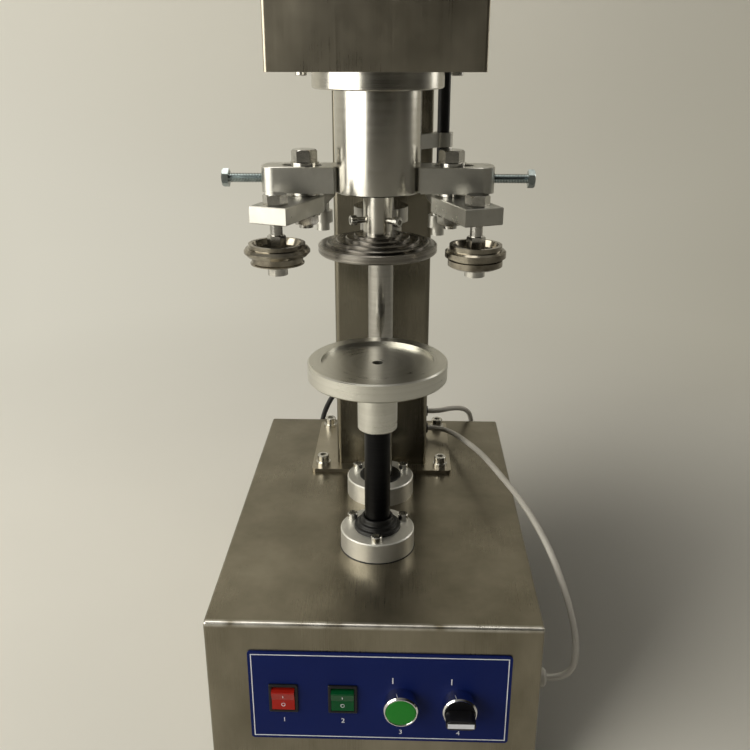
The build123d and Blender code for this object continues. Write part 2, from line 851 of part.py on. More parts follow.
with BuildPart() as seaming_cam:
    with BuildSketch(Plane((0, camshaft_y, cam_bottom))):
        Circle(cam_base_radius)
        with Locations((0, cam_lobe_radius - cam_nose_radius)):
            Circle(cam_nose_radius)
        make_hull()
        Circle(cam_shaft_radius + seat_gap, mode=Mode.SUBTRACT)
    extrude(amount=cam_thickness)
    with BuildSketch(Plane((0, camshaft_y, cam_bottom))):
        Circle(cam_hub_radius)
        Circle(cam_shaft_radius + seat_gap, mode=Mode.SUBTRACT)
    extrude(amount=-cam_hub_length)
finish(seaming_cam.part, "seaming_cam")

lift_cam_slope = math.degrees(math.atan2(lift_cam_rise, 2 * lift_cam_radius))
lift_cam_middle = lift_cam_bottom + lift_cam_rise / 2
with BuildPart() as lift_cam:
    with BuildSketch(Plane((0, camshaft_y, lift_cam_bottom))):
        Circle(lift_cam_radius)
        Circle(cam_shaft_radius + seat_gap, mode=Mode.SUBTRACT)
    extrude(amount=lift_cam_height)
    slope_plane = Plane((0, camshaft_y, lift_cam_middle)).rotated((lift_cam_slope, 0, 0))
    split(bisect_by=slope_plane, keep=Keep.TOP)
finish(lift_cam.part, "lift_cam")

# Lift rocker: a lever in a bracket under the base top, between the end cam and the lift shaft
with BuildPart() as lift_lever:
    with BuildSketch(Plane.YZ):
        with Locations((lift_rocker_y, lift_rocker_z)):
            Rectangle(2 * lift_rocker_arm, lift_rocker_height)
            Circle(lift_roller_radius)
        with Locations((spindle_y, lift_rocker_z), (lift_roller_y, lift_rocker_z)):
            Circle(lift_roller_radius)
        with Locations((lift_rocker_y, lift_rocker_z)):
            Circle(lift_pin_radius + running_fit, mode=Mode.SUBTRACT)
    extrude(amount=lift_rocker_width / 2, both=True)
finish(lift_lever.part, "lift_lever")

bracket_inner = lift_rocker_width / 2 + free_gap
bracket_bottom = lift_rocker_z - lift_bracket_depth / 2
with BuildPart() as lift_lever_bracket:
    with BuildSketch(Plane.XY.offset(base_top - sheet)):
        with Locations((0, lift_rocker_y)):
            Rectangle(2 * (bracket_inner + lift_bracket_thickness), lift_bracket_depth)
    extrude(amount=bracket_bottom - base_top + sheet)
    with BuildSketch(Plane.XY.offset(bracket_bottom)):
        with Locations((0, lift_rocker_y)):
            Rectangle(2 * bracket_inner, lift_bracket_depth)
    extrude(amount=base_top - sheet - lift_bracket_thickness - bracket_bottom, mode=Mode.SUBTRACT)
    with BuildSketch(Plane.YZ):
        with Locations((lift_rocker_y, lift_rocker_z)):
            Circle(lift_pin_radius)
    extrude(amount=bracket_inner + lift_bracket_thickness, both=True)
finish(lift_lever_bracket.part, "lift_lever_bracket")

# Gear motor with a hollow output, standing on the floor plate
gearbox_bottom = base_bottom + sheet
with BuildPart() as gear_motor:
    with BuildSketch(Plane((0, camshaft_y, gearbox_bottom))):
        RectangleRounded(gearbox_width, gearbox_width, drive_corner)
    extrude(amount=gearbox_height)
    with BuildSketch(Plane.ZX.offset(camshaft_y)):
        with Locations((gear_motor_z, 0)):
            Circle(gear_motor_radius)
    extrude(amount=gearbox_width / 2 + gear_motor_length)
    chamfer(gear_motor.edges().group_by(Axis.Y)[-1], drive_corner)
    with BuildSketch(Plane((0, camshaft_y, cam_shaft_seat))):
        Circle(cam_shaft_radius + running_fit)
    extrude(amount=gearbox_bottom + gearbox_height - cam_shaft_seat, mode=Mode.SUBTRACT)
finish(gear_motor.part, "gear_motor")

# Head: a folded cover over a thick plate on the column
head_corner = edge_radius - sheet
with BuildPart() as head_cover:
    with BuildSketch(Plane((0, head_y, head_bottom))):
        Rectangle(head_width, head_depth)
    extrude(amount=head_height)
    fillet(head_cover.edges().filter_by(Axis.Z), edge_radius)
    fillet(head_cover.faces().sort_by(Axis.Z)[-1].edges(), edge_radius)
    offset(amount=-sheet, openings=head_cover.faces().sort_by(Axis.Z)[0])
finish(head_cover.part, "head_cover")

plate_gap = sheet + seat_gap
with BuildPart() as head_base_plate:
    with BuildSketch(Plane((0, head_y, head_bottom))):
        RectangleRounded(head_width - 2 * plate_gap, head_depth - 2 * plate_gap, head_corner)
        with Locations((0, spindle_y - head_y)):
            Circle(bearing_radius, mode=Mode.SUBTRACT)
        plate_holes = housing_screw_places + head_screw_places + plate_screw_places
        with Locations(*[(x, y - head_y) for x, y in plate_holes]):
            Circle(m6_radius + screw_gap, mode=Mode.SUBTRACT)
    extrude(amount=head_plate_thickness)
finish(head_base_plate.part, "head_base_plate")

# Spindle housing, with a pocket on each side for a slide arm
with BuildPart() as spindle_housing:
    add(turned(0, spindle_y, [
        (nose_radius + nose_gap, housing_bottom),
        (housing_radius - housing_bevel, housing_bottom),
        (housing_radius, housing_bottom + housing_bevel),
        (housing_radius, housing_top),
        (housing_flange_radius - housing_bevel, housing_top),
        (housing_flange_radius, housing_top + housing_bevel),
        (housing_flange_radius, head_bottom),
        (bearing_radius + seat_gap, head_bottom),
        (bearing_radius + seat_gap, lower_bearing_z),
        (nose_radius + nose_gap, lower_bearing_z),
    ]))
    with BuildSketch(Plane.XY.offset(head_bottom)):
        with Locations(*housing_screw_places):
            Circle(m6_radius + screw_gap)
    extrude(amount=-housing_screw_depth - free_gap, mode=Mode.SUBTRACT)
    with BuildSketch(Plane((0, spindle_y, housing_bottom))):
        with Locations((housing_radius, 0), (-housing_radius, 0)):
            Rectangle(2 * arm_pocket, arm_tenon)
    extrude(amount=arm_height, mode=Mode.SUBTRACT)
finish(spindle_housing.part, "spindle_housing")

with BuildPart() as spindle_bearings:
    for bottom in (lower_bearing_z, upper_bearing_z):
        add(ring(0, spindle_y, nose_radius + running_fit, bearing_radius, bottom, bottom + bearing_width))
finish(spindle_bearings.part, "spindle_bearings")

shank_top = chuck_top + shank_length
spindle_top = head_bottom + head_plate_thickness + spindle_rise
clamp_z = chuck_top + clamp_screw_rise
clamp_head = clamp_screw_reach - m5_head_height


def clamp_plane(index):
    """The plane under a clamp screw's head, facing out of the spindle nose."""
    turn = math.radians(clamp_screw_angle + 360 / clamp_screw_count * index)
    outward = Vector(math.cos(turn), math.sin(turn), 0)
    return Plane(origin=Vector(0, spindle_y, clamp_z) + outward * clamp_head, z_dir=outward)


with BuildPart() as spindle_shaft:
    add(turned(0, spindle_y, [
        (shank_radius + seat_gap, chuck_top),
        (nose_radius, chuck_top),
        (nose_radius, spindle_top),
        (0, spindle_top),
        (0, shank_top + free_gap),
        (shank_radius + seat_gap, shank_top + free_gap),
    ]))
    for index in range(clamp_screw_count):
        with BuildSketch(clamp_plane(index)):
            Circle(m5_radius + seat_gap)
        extrude(amount=-clamp_head, mode=Mode.SUBTRACT)
finish(spindle_shaft.part, "spindle_shaft")

with BuildPart() as chuck_clamp_screws:
    for index in range(clamp_screw_count):
        clamp_grip = clamp_head - shank_radius - seat_gap
        add(cap_screw(clamp_plane(index), m5_radius, m5_head_radius, m5_head_height, clamp_grip))
finish(chuck_clamp_screws.part, "chuck_clamp_screws")

# Chuck: a thick lip that backs the seam, and steps up to the shank
chuck_outline = [
    (0, chuck_bottom),
    (chuck_radius - chuck_lip_bevel, chuck_bottom),
    (chuck_radius, chuck_bottom + chuck_lip_bevel),
    (chuck_radius, chuck_lip_top - chuck_step_bevel),
    (chuck_radius - chuck_step_bevel, chuck_lip_top),
]
for index, radius in enumerate(chuck_step_radii):
    step_bottom = chuck_lip_top + index * chuck_step_height
    step_top = step_bottom + chuck_step_height
    chuck_outline += [
        (radius, step_bottom),
        (radius, step_top - chuck_step_bevel),
        (radius - chuck_step_bevel, step_top),
    ]
chuck_outline += [(shank_radius, chuck_top), (shank_radius, shank_top), (0, shank_top)]
finish(turned(0, spindle_y, chuck_outline), "chuck")

# Head drive: motor on posts, two pulleys and a belt


def pulley(y, radius, shaft_radius, shaft_top):
    """A rimmed pulley; above it a shaft stands where shaft_top is higher than the pulley."""
    rim = radius + pulley_rim_reach
    outline = [
        (shaft_radius, pulley_bottom),
        (rim, pulley_bottom),
        (rim, pulley_bottom + pulley_rim),
        (radius, pulley_bottom + pulley_rim),
        (radius, pulley_top - pulley_rim),
        (rim, pulley_top - pulley_rim),
        (rim, pulley_top),
    ]
    if shaft_top > pulley_top:
        outline += [(motor_shaft_radius, pulley_top), (motor_shaft_radius, shaft_top), (0, shaft_top)]
    else:
        outline += [(shaft_radius, pulley_top)]
    return turned(0, y, outline)


motor_bottom = pulley_top + pulley_lift
motor_socket = motor_bottom + motor_foot + pulley_height
finish(pulley(spindle_y, spindle_pulley_radius, nose_radius + seat_gap, pulley_top), "spindle_pulley")
finish(pulley(motor_y, motor_pulley_radius, 0, motor_socket), "motor_pulley")

with BuildPart() as head_motor:
    with BuildSketch(Plane((0, motor_y, motor_bottom))):
        RectangleRounded(motor_plate_side, motor_plate_side, drive_corner)
    extrude(amount=motor_foot)
    with BuildSketch(Plane((0, motor_y, motor_bottom + motor_foot))):
        Circle(motor_radius)
    extrude(amount=motor_height - motor_foot)
    chamfer(head_motor.edges().group_by(Axis.Z)[-1], drive_corner)
    with BuildSketch(Plane((0, motor_y, motor_bottom))):
        Circle(motor_shaft_radius + running_fit)
    extrude(amount=motor_socket + free_gap - motor_bottom, mode=Mode.SUBTRACT)
    with BuildSketch(Plane((0, motor_y, head_bottom + head_plate_thickness))):
        with GridLocations(motor_post_pitch, motor_post_pitch, 2, 2):
            Circle(motor_post_radius)
    extrude(amount=motor_bottom - head_bottom - head_plate_thickness)
finish(head_motor.part, "head_motor")


def belt_loop(gap):
    """The outline round both pulleys, that far off their grooves, with its middle on the spindle."""
    with BuildSketch() as loop:
        Circle(spindle_pulley_radius + gap)
        with Locations((0, motor_y - spindle_y)):
            Circle(motor_pulley_radius + gap)
        make_hull()
    return loop.sketch


belt_bottom = pulley_bottom + pulley_rim + free_gap
with BuildPart() as drive_belt:
    with BuildSketch(Plane((0, spindle_y, belt_bottom))):
        add(belt_loop(free_gap + belt_thickness))
        add(belt_loop(free_gap), mode=Mode.SUBTRACT)
    extrude(amount=pulley_height - 2 * pulley_rim - 2 * free_gap)
finish(drive_belt.part, "drive_belt")

# Slide arms: each carries a pivot bolt in its slot and an adjusting screw through its end
arm_root = housing_radius - arm_pocket
arm_shoulder = housing_radius + seat_gap
with BuildPart() as slide_arms:
    for side in (-1, 1):
        with BuildSketch(Plane((0, spindle_y, housing_bottom))):
            with Locations((side * (arm_root + arm_reach - arm_end_radius) / 2, 0)):
                Rectangle(arm_reach - arm_end_radius - arm_root, arm_tenon)
            with Locations((side * (arm_shoulder + arm_reach - arm_end_radius) / 2, 0)):
                Rectangle(arm_reach - arm_end_radius - arm_shoulder, arm_depth)
            with Locations((side * (arm_reach - 2 * arm_end_radius), 0)):
                RectangleRounded(4 * arm_end_radius, arm_depth, arm_end_radius)
            with Locations((side * (slot_inner + slot_outer) / 2, 0)):
                SlotOverall(slot_outer - slot_inner, slot_width, mode=Mode.SUBTRACT)
        extrude(amount=arm_height)
    arm_faces = slide_arms.faces().filter_by(Axis.Z)
    chamfer(arm_faces.sort_by(Axis.Z)[-2:].edges(), edge_break)
    for side in (-1, 1):
        with BuildSketch(Plane.YZ.offset(side * (slot_inner + slot_outer) / 2)):
            with Locations((spindle_y, arm_middle)):
                Circle(m8_radius + running_fit)
        extrude(amount=side * arm_reach, mode=Mode.SUBTRACT)
finish(slide_arms.part, "slide_arms")


def pivot_bolt(side):
    """The lever's pivot: head and washer on the arm, spacer under it, washer and nut under the lever."""
    x = side * pivot_x
    cap_bottom = arm_top + m12_washer
    washer_bottom = lever_bottom - free_gap - m12_washer
    thread_bottom = washer_bottom - m12_nut_height - m12_thread_end
    with BuildPart() as bolt:
        add(ring(x, spindle_y, 0, m12_radius, thread_bottom, cap_bottom))
        add(ring(x, spindle_y, 0, m12_washer_radius, washer_bottom, lever_bottom - free_gap))
        add(ring(x, spindle_y, 0, m12_washer_radius, lever_top + free_gap, housing_bottom))
        add(ring(x, spindle_y, 0, m12_washer_radius, arm_top, cap_bottom))
        nut_plane = Plane(origin=(x, spindle_y, washer_bottom), z_dir=(0, 0, -1))
        add(hexagon(nut_plane, m12_across_flats, m12_nut_height))
        add(hexagon(Plane((x, spindle_y, cap_bottom)), m12_across_flats, m12_head_height))
    return bolt.part


def adjusting_screw(side):
    """The screw that pushes the pivot bolt along its slot."""
    tip = pivot_x + m12_radius + seat_gap
    neck = adjusting_reach - adjusting_head_height
    tip_plane = Plane(origin=(side * tip, spindle_y, arm_middle), z_dir=(side, 0, 0))
    neck_plane = Plane(origin=(side * neck, spindle_y, arm_middle), x_dir=(0, 0, 1), z_dir=(side, 0, 0))
    with BuildPart() as screw:
        with BuildSketch(tip_plane):
            Circle(m8_radius)
        extrude(amount=neck - tip)
        add(hexagon(neck_plane, adjusting_across_flats, adjusting_head_height))
    return screw.part


def seaming_lever(side, follower_drop):
    """A bent lever: roll axle at the front, pivot in the middle, cam follower pin at the rear."""
    x = side * pivot_x
    front_length = math.hypot(axle_dx, axle_dy)
    front_angle = math.degrees(math.atan2(-axle_dy, side * axle_dx))
    rear_length = math.hypot(follower_dx, follower_dy)
    rear_angle = math.degrees(math.atan2(follower_dy, -side * follower_dx))
    front_middle = (front_length + lever_nose) / 2
    follower_x = x - side * follower_dx
    follower_y = spindle_y + follower_dy
    shoulder_bottom = lever_bottom - follower_drop + free_gap
    collar_top = lever_bottom - follower_drop - follower_height - free_gap
    with BuildPart() as lever:
        with BuildSketch(Plane((x, spindle_y, lever_bottom))):
            Circle(lever_width / 2)
            with Locations(Location((0, 0), front_angle)):
                with Locations((front_middle, 0)):
                    Rectangle(front_length + lever_nose, lever_width)
                with Locations((front_length, 0)):
                    Circle(m10_radius + seat_gap, mode=Mode.SUBTRACT)
            with Locations(Location((0, 0), rear_angle)):
                with Locations((rear_length / 2, 0)):
                    SlotCenterToCenter(rear_length, lever_rear_width)
            Circle(m12_radius + running_fit, mode=Mode.SUBTRACT)
        extrude(amount=lever_thickness)
        chamfer(lever.faces().sort_by(Axis.Z)[-1].outer_wire().edges(), edge_break)
        chamfer(lever.faces().sort_by(Axis.Z)[0].outer_wire().edges(), edge_break)
        add(ring(follower_x, follower_y, 0, follower_collar_radius, shoulder_bottom, lever_bottom))
        add(ring(follower_x, follower_y, 0, follower_pin_radius, collar_top, lever_bottom))
        collar_bottom = collar_top - follower_collar_height
        add(ring(follower_x, follower_y, 0, follower_collar_radius, collar_bottom, collar_top))
    return lever.part


def cam_follower(side, follower_drop):
    """The roller on a lever's rear pin."""
    x = side * (pivot_x - follower_dx)
    top = lever_bottom - follower_drop
    bore = follower_pin_radius + running_fit
    return ring(x, spindle_y + follower_dy, bore, follower_radius, top - follower_height, top)


def roll_axle(side):
    """The bolt that carries a roll: head on the lever, lock nut in the roll's dish, end collar."""
    x = side * (pivot_x + axle_dx)
    y = spindle_y - axle_dy
    collar_top = seam_z + roll_bottom - free_gap
    nut_bottom = seam_z + roll_dish_floor + free_gap
    with BuildPart() as axle:
        add(ring(x, y, 0, m10_radius, collar_top, lever_top))
        add(hexagon(Plane((x, y, lever_top)), m10_across_flats, m10_head_height))
        add(hexagon(Plane((x, y, nut_bottom)), axle_nut_across_flats, axle_nut_height))
        add(ring(x, y, 0, roll_collar_radius, collar_top - roll_collar_height, collar_top))
    return axle.part


def seaming_roll(side, outline):
    """A grooved roll with a dished top; the groove closes on the seam against the chuck."""
    x = side * (pivot_x + axle_dx)
    bore = m10_radius + running_fit
    points = [(bore, roll_bottom), *outline, (bore, roll_dish_floor)]
    return turned(x, spindle_y - axle_dy, [(radius, seam_z + height) for radius, height in points])


finish(pivot_bolt(-1), "left_pivot_bolt")
finish(pivot_bolt(1), "right_pivot_bolt")
finish(adjusting_screw(-1), "left_adjusting_screw")
finish(adjusting_screw(1), "right_adjusting_screw")
finish(seaming_lever(-1, first_follower_drop), "left_seaming_lever")
finish(seaming_lever(1, second_follower_drop), "right_seaming_lever")
finish(cam_follower(-1, first_follower_drop), "left_cam_follower")
finish(cam_follower(1, second_follower_drop), "right_cam_follower")
finish(roll_axle(-1), "left_roll_axle")
finish(roll_axle(1), "right_roll_axle")
finish(seaming_roll(-1, first_roll_outline), "left_seaming_roll")
finish(seaming_roll(1, second_roll_outline), "right_seaming_roll")

# Sensor over the right lever, clipped to the spindle housing
finish(ring(sensor_x, sensor_y, 0, sensor_radius, lever_top + sensor_gap, head_bottom), "lever_sensor")

clip_angle = math.degrees(math.atan2(sensor_y - spindle_y, sensor_x))
clip_length = math.hypot(sensor_x, sensor_y - spindle_y)
clip_bottom = head_bottom - sensor_clip_drop - sensor_clip_height
with BuildPart() as sensor_clip:
    with BuildSketch(Plane((0, spindle_y, clip_bottom))):
        with Locations(Location((0, 0), clip_angle)):
            with Locations((clip_length / 2, 0)):
                Rectangle(clip_length, sensor_clip_width)
            with Locations((clip_length, 0)):
                Circle(sensor_radius + sensor_clip_wall)
                Circle(sensor_radius + seat_gap, mode=Mode.SUBTRACT)
        Circle(housing_radius + seat_gap, mode=Mode.SUBTRACT)
    extrude(amount=sensor_clip_height)
finish(sensor_clip.part, "sensor_clip")

# Cable glands, grommets and cables


def gland(plane, reach):
    """A closed cable gland on a wall: hexagon, tapered nut, and a threaded neck through the wall."""
    with BuildPart() as piece:
        with BuildSketch(plane):
            Circle(gland_body_radius)
        extrude(amount=reach)
        rims = piece.edges().group_by(Axis(plane.origin, plane.z_dir))
        chamfer(rims[-1], gland_body_radius - gland_dome_radius)
        with BuildSketch(plane):
            Circle(gland_thread_radius)
        extrude(amount=-gland_thread_length)
        add(hexagon(plane, gland_across_flats, gland_nut_height))
    return piece.part


def grommet(wall_plane, radius):
    """A grommet in the column's wall, at the start of a cable."""
    with BuildPart() as piece:
        with BuildSketch(wall_plane):
            Circle(grommet_radius)
        extrude(amount=grommet_reach)
        rims = piece.edges().group_by(Axis(wall_plane.origin, wall_plane.z_dir))
        chamfer(rims[-1], grommet_edge)
        with BuildSketch(wall_plane):
            Circle(radius + grommet_lip)
        extrude(amount=-column_wall)
    return piece.part


def cable(points, radius):
    """A round cable along straight runs, with a tangent bend at each point between them."""
    spots = [Vector(*point) for point in points]
    bends = []
    for before, here, after in zip(spots, spots[1:], spots[2:]):
        turn = math.radians((here - before).get_angle(after - here))
        shorter = min((here - before).length, (after - here).length)
        bends.append(bend_share * shorter / math.tan(turn / 2))
    with BuildPart() as tube:
        with BuildLine() as route:
            FilletPolyline(*spots, radius=bends)
        with BuildSketch(Plane(origin=route.line @ 0, z_dir=route.line % 0)):
            Circle(radius)
        sweep()
    return tube.part


with BuildPart() as column_grommets:
    for wall_plane, radius in grommet_places:
        add(grommet(wall_plane, radius))
finish(column_grommets.part, "column_grommets")

side_gland_plane = Plane(origin=(base_width / 2, side_gland_y, side_gland_z), z_dir=(1, 0, 0))
finish(gland(side_gland_plane, side_gland_reach), "side_cable_gland")

with BuildPart() as rear_cable_glands:
    for x, z in rear_gland_places:
        add(gland(Plane(origin=(x, base_depth / 2, z), z_dir=(0, 1, 0)), rear_gland_reach))
finish(rear_cable_glands.part, "rear_cable_glands")

finish(cable(head_cable_route, cable_radius), "head_cable")
finish(cable(rear_cable_route, cable_radius), "rear_cable")
finish(cable(black_cable_route, black_cable_radius), "black_cable")
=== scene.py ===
"""Looks of the benchtop can seamer: finishes, cables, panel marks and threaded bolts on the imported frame."""
import json
import math

import bpy
from mathutils import Matrix, Vector

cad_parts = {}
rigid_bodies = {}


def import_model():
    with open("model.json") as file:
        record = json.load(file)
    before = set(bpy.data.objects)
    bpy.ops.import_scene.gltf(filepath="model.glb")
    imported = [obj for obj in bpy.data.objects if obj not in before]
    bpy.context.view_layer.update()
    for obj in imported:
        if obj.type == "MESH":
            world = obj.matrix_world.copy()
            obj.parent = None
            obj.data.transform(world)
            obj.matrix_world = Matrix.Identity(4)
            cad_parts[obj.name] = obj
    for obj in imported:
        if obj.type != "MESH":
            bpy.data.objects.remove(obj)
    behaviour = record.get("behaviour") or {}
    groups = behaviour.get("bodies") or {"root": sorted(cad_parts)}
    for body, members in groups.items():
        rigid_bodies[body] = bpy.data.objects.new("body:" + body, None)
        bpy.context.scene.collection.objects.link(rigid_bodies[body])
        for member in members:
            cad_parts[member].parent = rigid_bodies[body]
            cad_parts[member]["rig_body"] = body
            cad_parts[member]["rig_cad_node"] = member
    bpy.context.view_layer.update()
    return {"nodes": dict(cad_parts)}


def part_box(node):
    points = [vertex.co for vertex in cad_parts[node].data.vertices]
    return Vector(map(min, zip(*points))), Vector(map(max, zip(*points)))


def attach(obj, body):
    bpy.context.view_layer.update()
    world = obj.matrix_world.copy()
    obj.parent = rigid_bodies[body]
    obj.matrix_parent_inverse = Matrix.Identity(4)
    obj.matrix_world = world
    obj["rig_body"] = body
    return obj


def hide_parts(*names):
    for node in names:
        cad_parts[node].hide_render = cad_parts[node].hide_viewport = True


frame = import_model()
nodes = frame["nodes"]

MM = 0.001


def node_middle(node):
    """The middle of a node's box."""
    low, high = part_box(node)
    return (low + high) / 2


# Shaft axes and main boxes, read from the frame
spindle_axis = node_middle("spindle_shaft")
cam_axis = node_middle("cam_shaft")
base_low, base_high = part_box("base_housing")
panel_low, panel_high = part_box("control_panel_plate")

# Cable routes, the same points as in the part's source, in millimetres
HEAD_CABLE_ROUTE = [
    (54, 156, 214), (69, 156, 214), (84, 137, 216), (96, 98, 224), (109, 47, 234), (122, -8, 239),
    (143, -56, 230), (164, -92, 203), (177, -125, 172), (183, -145, 147), (184, -152, 127),
    (181, -153, 112), (171, -153, 103.5), (157.5, -153, 103.5),
]
REAR_CABLE_ROUTE = [
    (54, 168, 231), (67, 168, 231), (82, 182, 229), (97, 202, 221), (108, 224, 207), (113, 243, 190),
    (116, 255, 169), (116, 261, 148), (116, 261, 131), (116, 257, 118), (116, 249, 110),
    (116, 239, 110),
]
BLACK_CABLE_ROUTE = [
    (-30, 182, 262), (-30, 194, 262), (-37, 205, 259), (-48, 214, 250), (-60, 221, 236), (-70, 228, 219),
    (-78, 236, 200), (-83, 246, 180), (-86, 255, 160), (-86, 261, 141), (-86, 259, 122),
    (-86, 249, 110), (-86, 239, 110),
]
GREY_CABLE_DIAMETER = 6.0 * MM
BLACK_CABLE_DIAMETER = 6.5 * MM


# Node helpers

def new_group(name, inputs, outputs):
    """A shader node group with float, vector or colour sockets; returns the group and its two end nodes."""
    kinds = {"value": "NodeSocketFloat", "vector": "NodeSocketVector", "colour": "NodeSocketColor"}
    group = bpy.data.node_groups.new(name, "ShaderNodeTree")
    for label, kind, start in inputs:
        socket = group.interface.new_socket(name=label, in_out="INPUT", socket_type=kinds[kind])
        if start is not None:
            socket.default_value = start
    for label, kind in outputs:
        group.interface.new_socket(name=label, in_out="OUTPUT", socket_type=kinds[kind])
    return group, group.nodes.new("NodeGroupInput"), group.nodes.new("NodeGroupOutput")


def math_node(tree, operation, first, second=None, clamp=False):
    """A Math node; numbers are set and sockets are linked."""
    node = tree.nodes.new("ShaderNodeMath")
    node.operation = operation
    node.use_clamp = clamp
    for index, value in enumerate((first, second)):
        if value is None:
            continue
        if isinstance(value, (int, float)):
            node.inputs[index].default_value = value
        else:
            tree.links.new(value, node.inputs[index])
    return node.outputs[0]


def colour_mix(tree, factor, first, second):
    """A colour Mix node; colours are set and sockets are linked."""
    node = tree.nodes.new("ShaderNodeMix")
    node.data_type = "RGBA"
    for socket, value in ((node.inputs["Factor"], factor), (node.inputs[6], first), (node.inputs[7], second)):
        if isinstance(value, (int, float)):
            socket.default_value = value
        elif isinstance(value, tuple):
            socket.default_value = (*value, 1.0)
        else:
            tree.links.new(value, socket)
    return node.outputs[2]


def noise(tree, vector, scale, detail=2.0, roughness=0.5):
    """A Noise texture on a vector; returns its value."""
    node = tree.nodes.new("ShaderNodeTexNoise")
    node.inputs["Scale"].default_value = scale
    node.inputs["Detail"].default_value = detail
    node.inputs["Roughness"].default_value = roughness
    tree.links.new(vector, node.inputs["Vector"])
    return node.outputs["Fac"]


def ramp(tree, value, low, high, bottom=0.0, top=1.0):
    """A clamped linear map of a value."""
    node = tree.nodes.new("ShaderNodeMapRange")
    for name, number in (("From Min", low), ("From Max", high), ("To Min", bottom), ("To Max", top)):
        node.inputs[name].default_value = number
    tree.links.new(value, node.inputs["Value"])
    return node.outputs["Result"]


def scaled(tree, vector, scale):
    """A vector multiplied part by part."""
    node = tree.nodes.new("ShaderNodeVectorMath")
    node.operation = "MULTIPLY"
    node.inputs[1].default_value = scale
    tree.links.new(vector, node.inputs[0])
    return node.outputs["Vector"]


def split_vector(tree, vector):
    """The three parts of a vector."""
    node = tree.nodes.new("ShaderNodeSeparateXYZ")
    tree.links.new(vector, node.inputs[0])
    return node.outputs["X"], node.outputs["Y"], node.outputs["Z"]


def flat_radius(tree, x, y):
    """The distance of a place from the upright axis."""
    squares = [math_node(tree, "POWER", part, 2.0) for part in (x, y)]
    return math_node(tree, "SQRT", math_node(tree, "ADD", *squares))


def blend_shaders(tree, factor, first, second, target):
    """A blend of two shaders, led to a material's or a world's output."""
    node = tree.nodes.new("ShaderNodeMixShader")
    tree.links.new(factor, node.inputs[0])
    tree.links.new(first.outputs[0], node.inputs[1])
    tree.links.new(second.outputs[0], node.inputs[2])
    tree.links.new(node.outputs[0], target.inputs["Surface"])


# Shared surface effects

def make_brushed_grain():
    """Fine parallel lines of brushed sheet: along Z on upright walls, along Y on level ones."""
    group, source, result = new_group(
        "Brushed grain", [("Vector", "vector", None)], [("Lines", "value"), ("Cloud", "value")])
    facing = group.nodes.new("ShaderNodeNewGeometry").outputs["True Normal"]
    upward = split_vector(group, facing)[2]
    level = math_node(group, "GREATER_THAN", math_node(group, "ABSOLUTE", upward), 0.7)
    across, along = 3600.0, 9.0
    upright_lines = noise(group, scaled(group, source.outputs["Vector"], (across, across, along)), 1.0, 2.0)
    level_lines = noise(group, scaled(group, source.outputs["Vector"], (across, along, across)), 1.0, 2.0)
    pick = group.nodes.new("ShaderNodeMix")
    group.links.new(level, pick.inputs["Factor"])
    group.links.new(upright_lines, pick.inputs[2])
    group.links.new(level_lines, pick.inputs[3])
    group.links.new(pick.outputs[0], result.inputs["Lines"])
    cloud = noise(group, scaled(group, source.outputs["Vector"], (14.0, 14.0, 7.0)), 1.0, 4.0, 0.6)
    group.links.new(cloud, result.inputs["Cloud"])
    return group


def make_turned_rings():
    """Rings left by a lathe about an upright axis, on flat faces and on round sides."""
    group, source, result = new_group(
        "Turned rings", [("Vector", "vector", None), ("Axis", "vector", None), ("Pitch", "value", 1.0)],
        [("Rings", "value"), ("Bands", "value")])
    offset = group.nodes.new("ShaderNodeVectorMath")
    offset.operation = "SUBTRACT"
    group.links.new(source.outputs["Vector"], offset.inputs[0])
    group.links.new(source.outputs["Axis"], offset.inputs[1])
    x, y, z = split_vector(group, offset.outputs["Vector"])
    joined = group.nodes.new("ShaderNodeCombineXYZ")
    group.links.new(flat_radius(group, x, y), joined.inputs["X"])
    group.links.new(z, joined.inputs["Y"])
    pitched = group.nodes.new("ShaderNodeVectorMath")
    pitched.operation = "SCALE"
    group.links.new(joined.outputs["Vector"], pitched.inputs[0])
    group.links.new(source.outputs["Pitch"], pitched.inputs["Scale"])
    group.links.new(noise(group, pitched.outputs["Vector"], 2200.0, 2.0), result.inputs["Rings"])
    group.links.new(noise(group, pitched.outputs["Vector"], 260.0, 3.0), result.inputs["Bands"])
    return group


def make_smudges():
    """Uneven handling marks: soft patches with small specks."""
    group, source, result = new_group(
        "Smudges", [("Vector", "vector", None), ("Size", "value", 1.0)],
        [("Patches", "value"), ("Specks", "value")])
    sized = group.nodes.new("ShaderNodeVectorMath")
    sized.operation = "SCALE"
    group.links.new(source.outputs["Vector"], sized.inputs[0])
    group.links.new(source.outputs["Size"], sized.inputs["Scale"])
    group.links.new(ramp(group, noise(group, sized.outputs["Vector"], 22.0, 5.0, 0.6), 0.35, 0.7),
                    result.inputs["Patches"])
    group.links.new(ramp(group, noise(group, sized.outputs["Vector"], 420.0, 2.0), 0.62, 0.74),
                    result.inputs["Specks"])
    return group


brushed_grain = make_brushed_grain()
turned_rings = make_turned_rings()
smudges = make_smudges()


